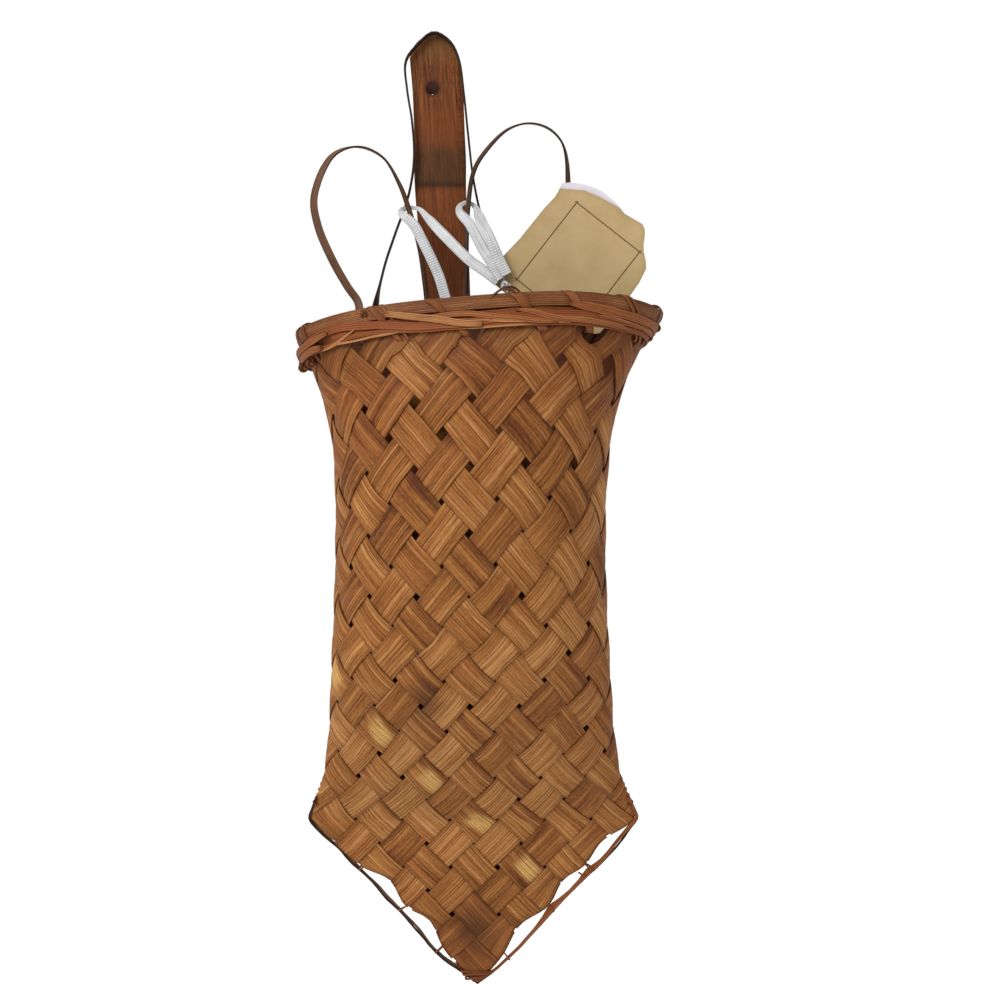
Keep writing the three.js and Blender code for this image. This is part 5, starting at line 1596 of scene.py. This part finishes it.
# Outlines as the photo shows them, anticlockwise from the corner with the hole
TAG_OUTLINE = [
    (-4.6, -2.6), (-1.6, -6.2), (6, -6.3), (12, -6.1), (13.6, -4.9), (16, -2.4), (19, -3.8), (22, -6),
    (30, -6.2),
    (37.8, -6.2), (38.6, -5.4), (41.4, -0.6), (44.6, 1.8), (50.6, 4.8), (51.9, 6.2), (52.3, 15),
    (52.2, 26.8),
    (51.8, 34.5), (50.5, 40.8), (48.5, 43.2), (44.8, 46.2), (42.8, 48.5), (41, 51.5), (39, 54),
    (36.5, 55.2),
    (27.2, 54), (22.8, 54.5), (13.8, 53), (6.5, 51.2), (-3.2, 45), (-3, 44.4), (-2.5, 40.8), (-3.2, 34.5),
    (-3.5, 16.8), (-4.8, 4.5),
]
CARD_OUTLINE = [
    (-3.4, -1.4), (-1, -4.6), (8, -4.8), (20, -4.8), (32, -4.9), (37.2, -4.9), (40.8, 0.6), (49.4, 5.4),
    (50.6, 15),
    (50.6, 26.8), (50.2, 34), (48.8, 40), (42.6, 46.4), (38.4, 52.4), (33, 53.6), (27.2, 54), (23.8, 54.9),
    (19, 55.6), (12.2, 55.6), (5.8, 53.9), (-1.2, 50.3), (-4.2, 47.3), (-3.5, 45), (-2, 40), (-2.2, 28),
    (-2.6, 16),
    (-3.6, 4),
]


def tag_world(x, depth, y):
    """World place of a point in the tag's own frame. Depth is towards the wall."""
    turn, yaw = math.radians(TAG_TURN), math.radians(TAG_YAW)
    right = x * math.cos(turn) + y * math.sin(turn)
    up = -x * math.sin(turn) + y * math.cos(turn)
    place = (right * math.cos(yaw) + depth * math.sin(yaw), depth * math.cos(yaw) - right * math.sin(yaw), up)
    return np.stack(place, axis=-1) + np.array(TAG_HOLE)


def tag_curl(x, y):
    """How far the paper bows forward of its plane, zero near the hole."""
    far = smooth((x - 18) / 34) * smooth((y - 4) / 50)
    low = smooth((x - 26) / 26) * (1 - smooth(y / 22))
    bow = 0.5 * np.sin(math.pi * np.clip((y + 6) / 63, 0, 1)) * smooth(x / 20)
    return -(CURL * far + 0.7 * CURL * low + bow)


def sheet_outline(corners, step=1.3):
    """Points along a sheet's sides, evenly spaced between its corners."""
    sides = []
    for start, end in zip(np.array(corners, float), np.array(corners[1:] + corners[:1], float)):
        count = max(2, int(np.linalg.norm(end - start) / step) + 1) - 1
        sides.append(start + (end - start) * (np.arange(count) / count)[:, None])
    return np.concatenate(sides)


def add_sheet(node, corners, material, slot, depth, thickness, place):
    """A sheet of the tag's, whose place gives how far it stands off the tag's plane."""
    outline = sheet_outline(corners)

    def face(offset):
        return lambda flat: tag_world(flat[:, 0], place(*flat.T) + offset, flat[:, 1])

    def tone(flat):
        return 0.5, 0, smooth(edge_distance(flat, sheet_outline(TAG_OUTLINE)) / DARK_EDGE_WIDTH)

    form = Form()
    add_plate(
        form, outline, circle(TAG_HOLE_RADIUS, 18), SHEET_SPACING, SHEET_INSETS,
        face(depth), face(depth + thickness), lambda flat: (*flat.T, 2.0), tone, lambda flat: (0, 0, 0),
    )
    form.keep(node, "sheet", material, slot, "tag", SHEET_CRISP_DEGREES)


def add_tag():
    add_sheet("hang_tag", TAG_OUTLINE, PAPER, "tag_paper", -TAG_THICKNESS, TAG_THICKNESS, tag_curl)
    add_sheet(
        "backing_card", CARD_OUTLINE, CARD, "card", CARD_DEPTH, CARD_THICKNESS,
        lambda x, y: 0.8 * tag_curl(x, y) + 0.35 * smooth((y - 20) / 30),
    )


def add_border():
    """Border lines on the tag: thin raised ink, crossing a little at the corners."""
    form = Form()
    (left, low), (right, high) = BORDER_LOW, BORDER_HIGH
    over = BORDER_OVERSHOOT
    facing = tag_world(0.0, -1.0, 0.0) - tag_world(0.0, 0.0, 0.0)
    lines = [((left - over, y), (right + over, y)) for y in (low, high)]
    lines += [((x, low - over), (x, high + over)) for x in (left, right)]
    for number, (start, end) in enumerate(lines, 800):
        x, y = np.linspace(start, end, 34).T
        path = tag_world(x, tag_curl(x, y) - TAG_THICKNESS - BORDER_STAND, y)
        across = unit(np.cross(tangents(path, False), facing))
        add_strip(form, path, across, BORDER_WIDTH, BORDER_THICKNESS, Splint(number, 1, ridge=0.02), number)
    form.keep("hang_tag", "border", INK, "tag_paper", "tag", stands=False)


add_tag()
add_border()


# Stage: a pale floor far below, plain light and a white background
FLOOR_Z = -550
FLOOR_REACH = 4
FLOOR_COLOR = (0.85, 0.85, 0.85, 1)
FLOOR_GLOW = 0.45
SKY = 0.72
WHITE = (1, 1, 1, 1)
# Key light, in metres and watts
KEY_PLACE = (-0.7, -1.1, 0.7)
KEY_AIM = (0.02, 0, -0.2)
KEY_SIZE = 0.8
KEY_POWER = 16


def add_floor():
    mesh = bpy.data.meshes.new("floor")
    corners = [(-FLOOR_REACH, -FLOOR_REACH), (FLOOR_REACH, -FLOOR_REACH), (FLOOR_REACH, FLOOR_REACH),
               (-FLOOR_REACH, FLOOR_REACH)]
    mesh.from_pydata([(x, y, FLOOR_Z * MM) for x, y in corners], [], [(0, 1, 2, 3)])
    material = bpy.data.materials.new("floor_paper")
    nodes = Nodes(material)
    light = nodes.add("ShaderNodeLightPath").outputs
    seen = nodes.math("MAXIMUM", light["Is Camera Ray"], light["Is Glossy Ray"])
    nodes.shade(Base_Color=FLOOR_COLOR, Roughness=0.9, Emission_Color=WHITE)
    nodes.shade(Emission_Strength=nodes.times(seen, FLOOR_GLOW))
    mesh.materials.append(material)
    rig.stage(link("floor", mesh))


def add_world():
    world = bpy.data.worlds.new("studio")
    bpy.context.scene.world = world
    nodes = Nodes(world)
    nodes.tree.nodes.clear()
    light = nodes.add("ShaderNodeLightPath").outputs
    seen = nodes.math("MAXIMUM", light["Is Camera Ray"], light["Is Transmission Ray"])
    lit, white = (nodes.add("ShaderNodeBackground", Color=WHITE, Strength=v).outputs[0] for v in (SKY, 1.0))
    mixed = nodes.add("ShaderNodeMixShader", seen, lit, white).outputs[0]
    nodes.add("ShaderNodeOutputWorld", Surface=mixed)


def add_light(name, place, aim, size, power):
    data = bpy.data.lights.new(name, "AREA")
    data.size = size
    data.energy = power
    obj = link(name, data)
    obj.location = place
    direction = np.array(aim) - np.array(place)
    pitch = math.acos(-direction[2] / np.linalg.norm(direction))
    obj.rotation_euler = (pitch, 0, math.atan2(direction[1], direction[0]) - math.pi / 2)


add_floor()
add_world()
add_light("key", KEY_PLACE, KEY_AIM, KEY_SIZE, KEY_POWER)

bpy.context.scene.view_settings.view_transform = "Standard"

with open("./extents.json", "w") as file:
    json.dump({"cad": [list(v) for v in cad_box], "visual": [list(v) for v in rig.bounds()]}, file)
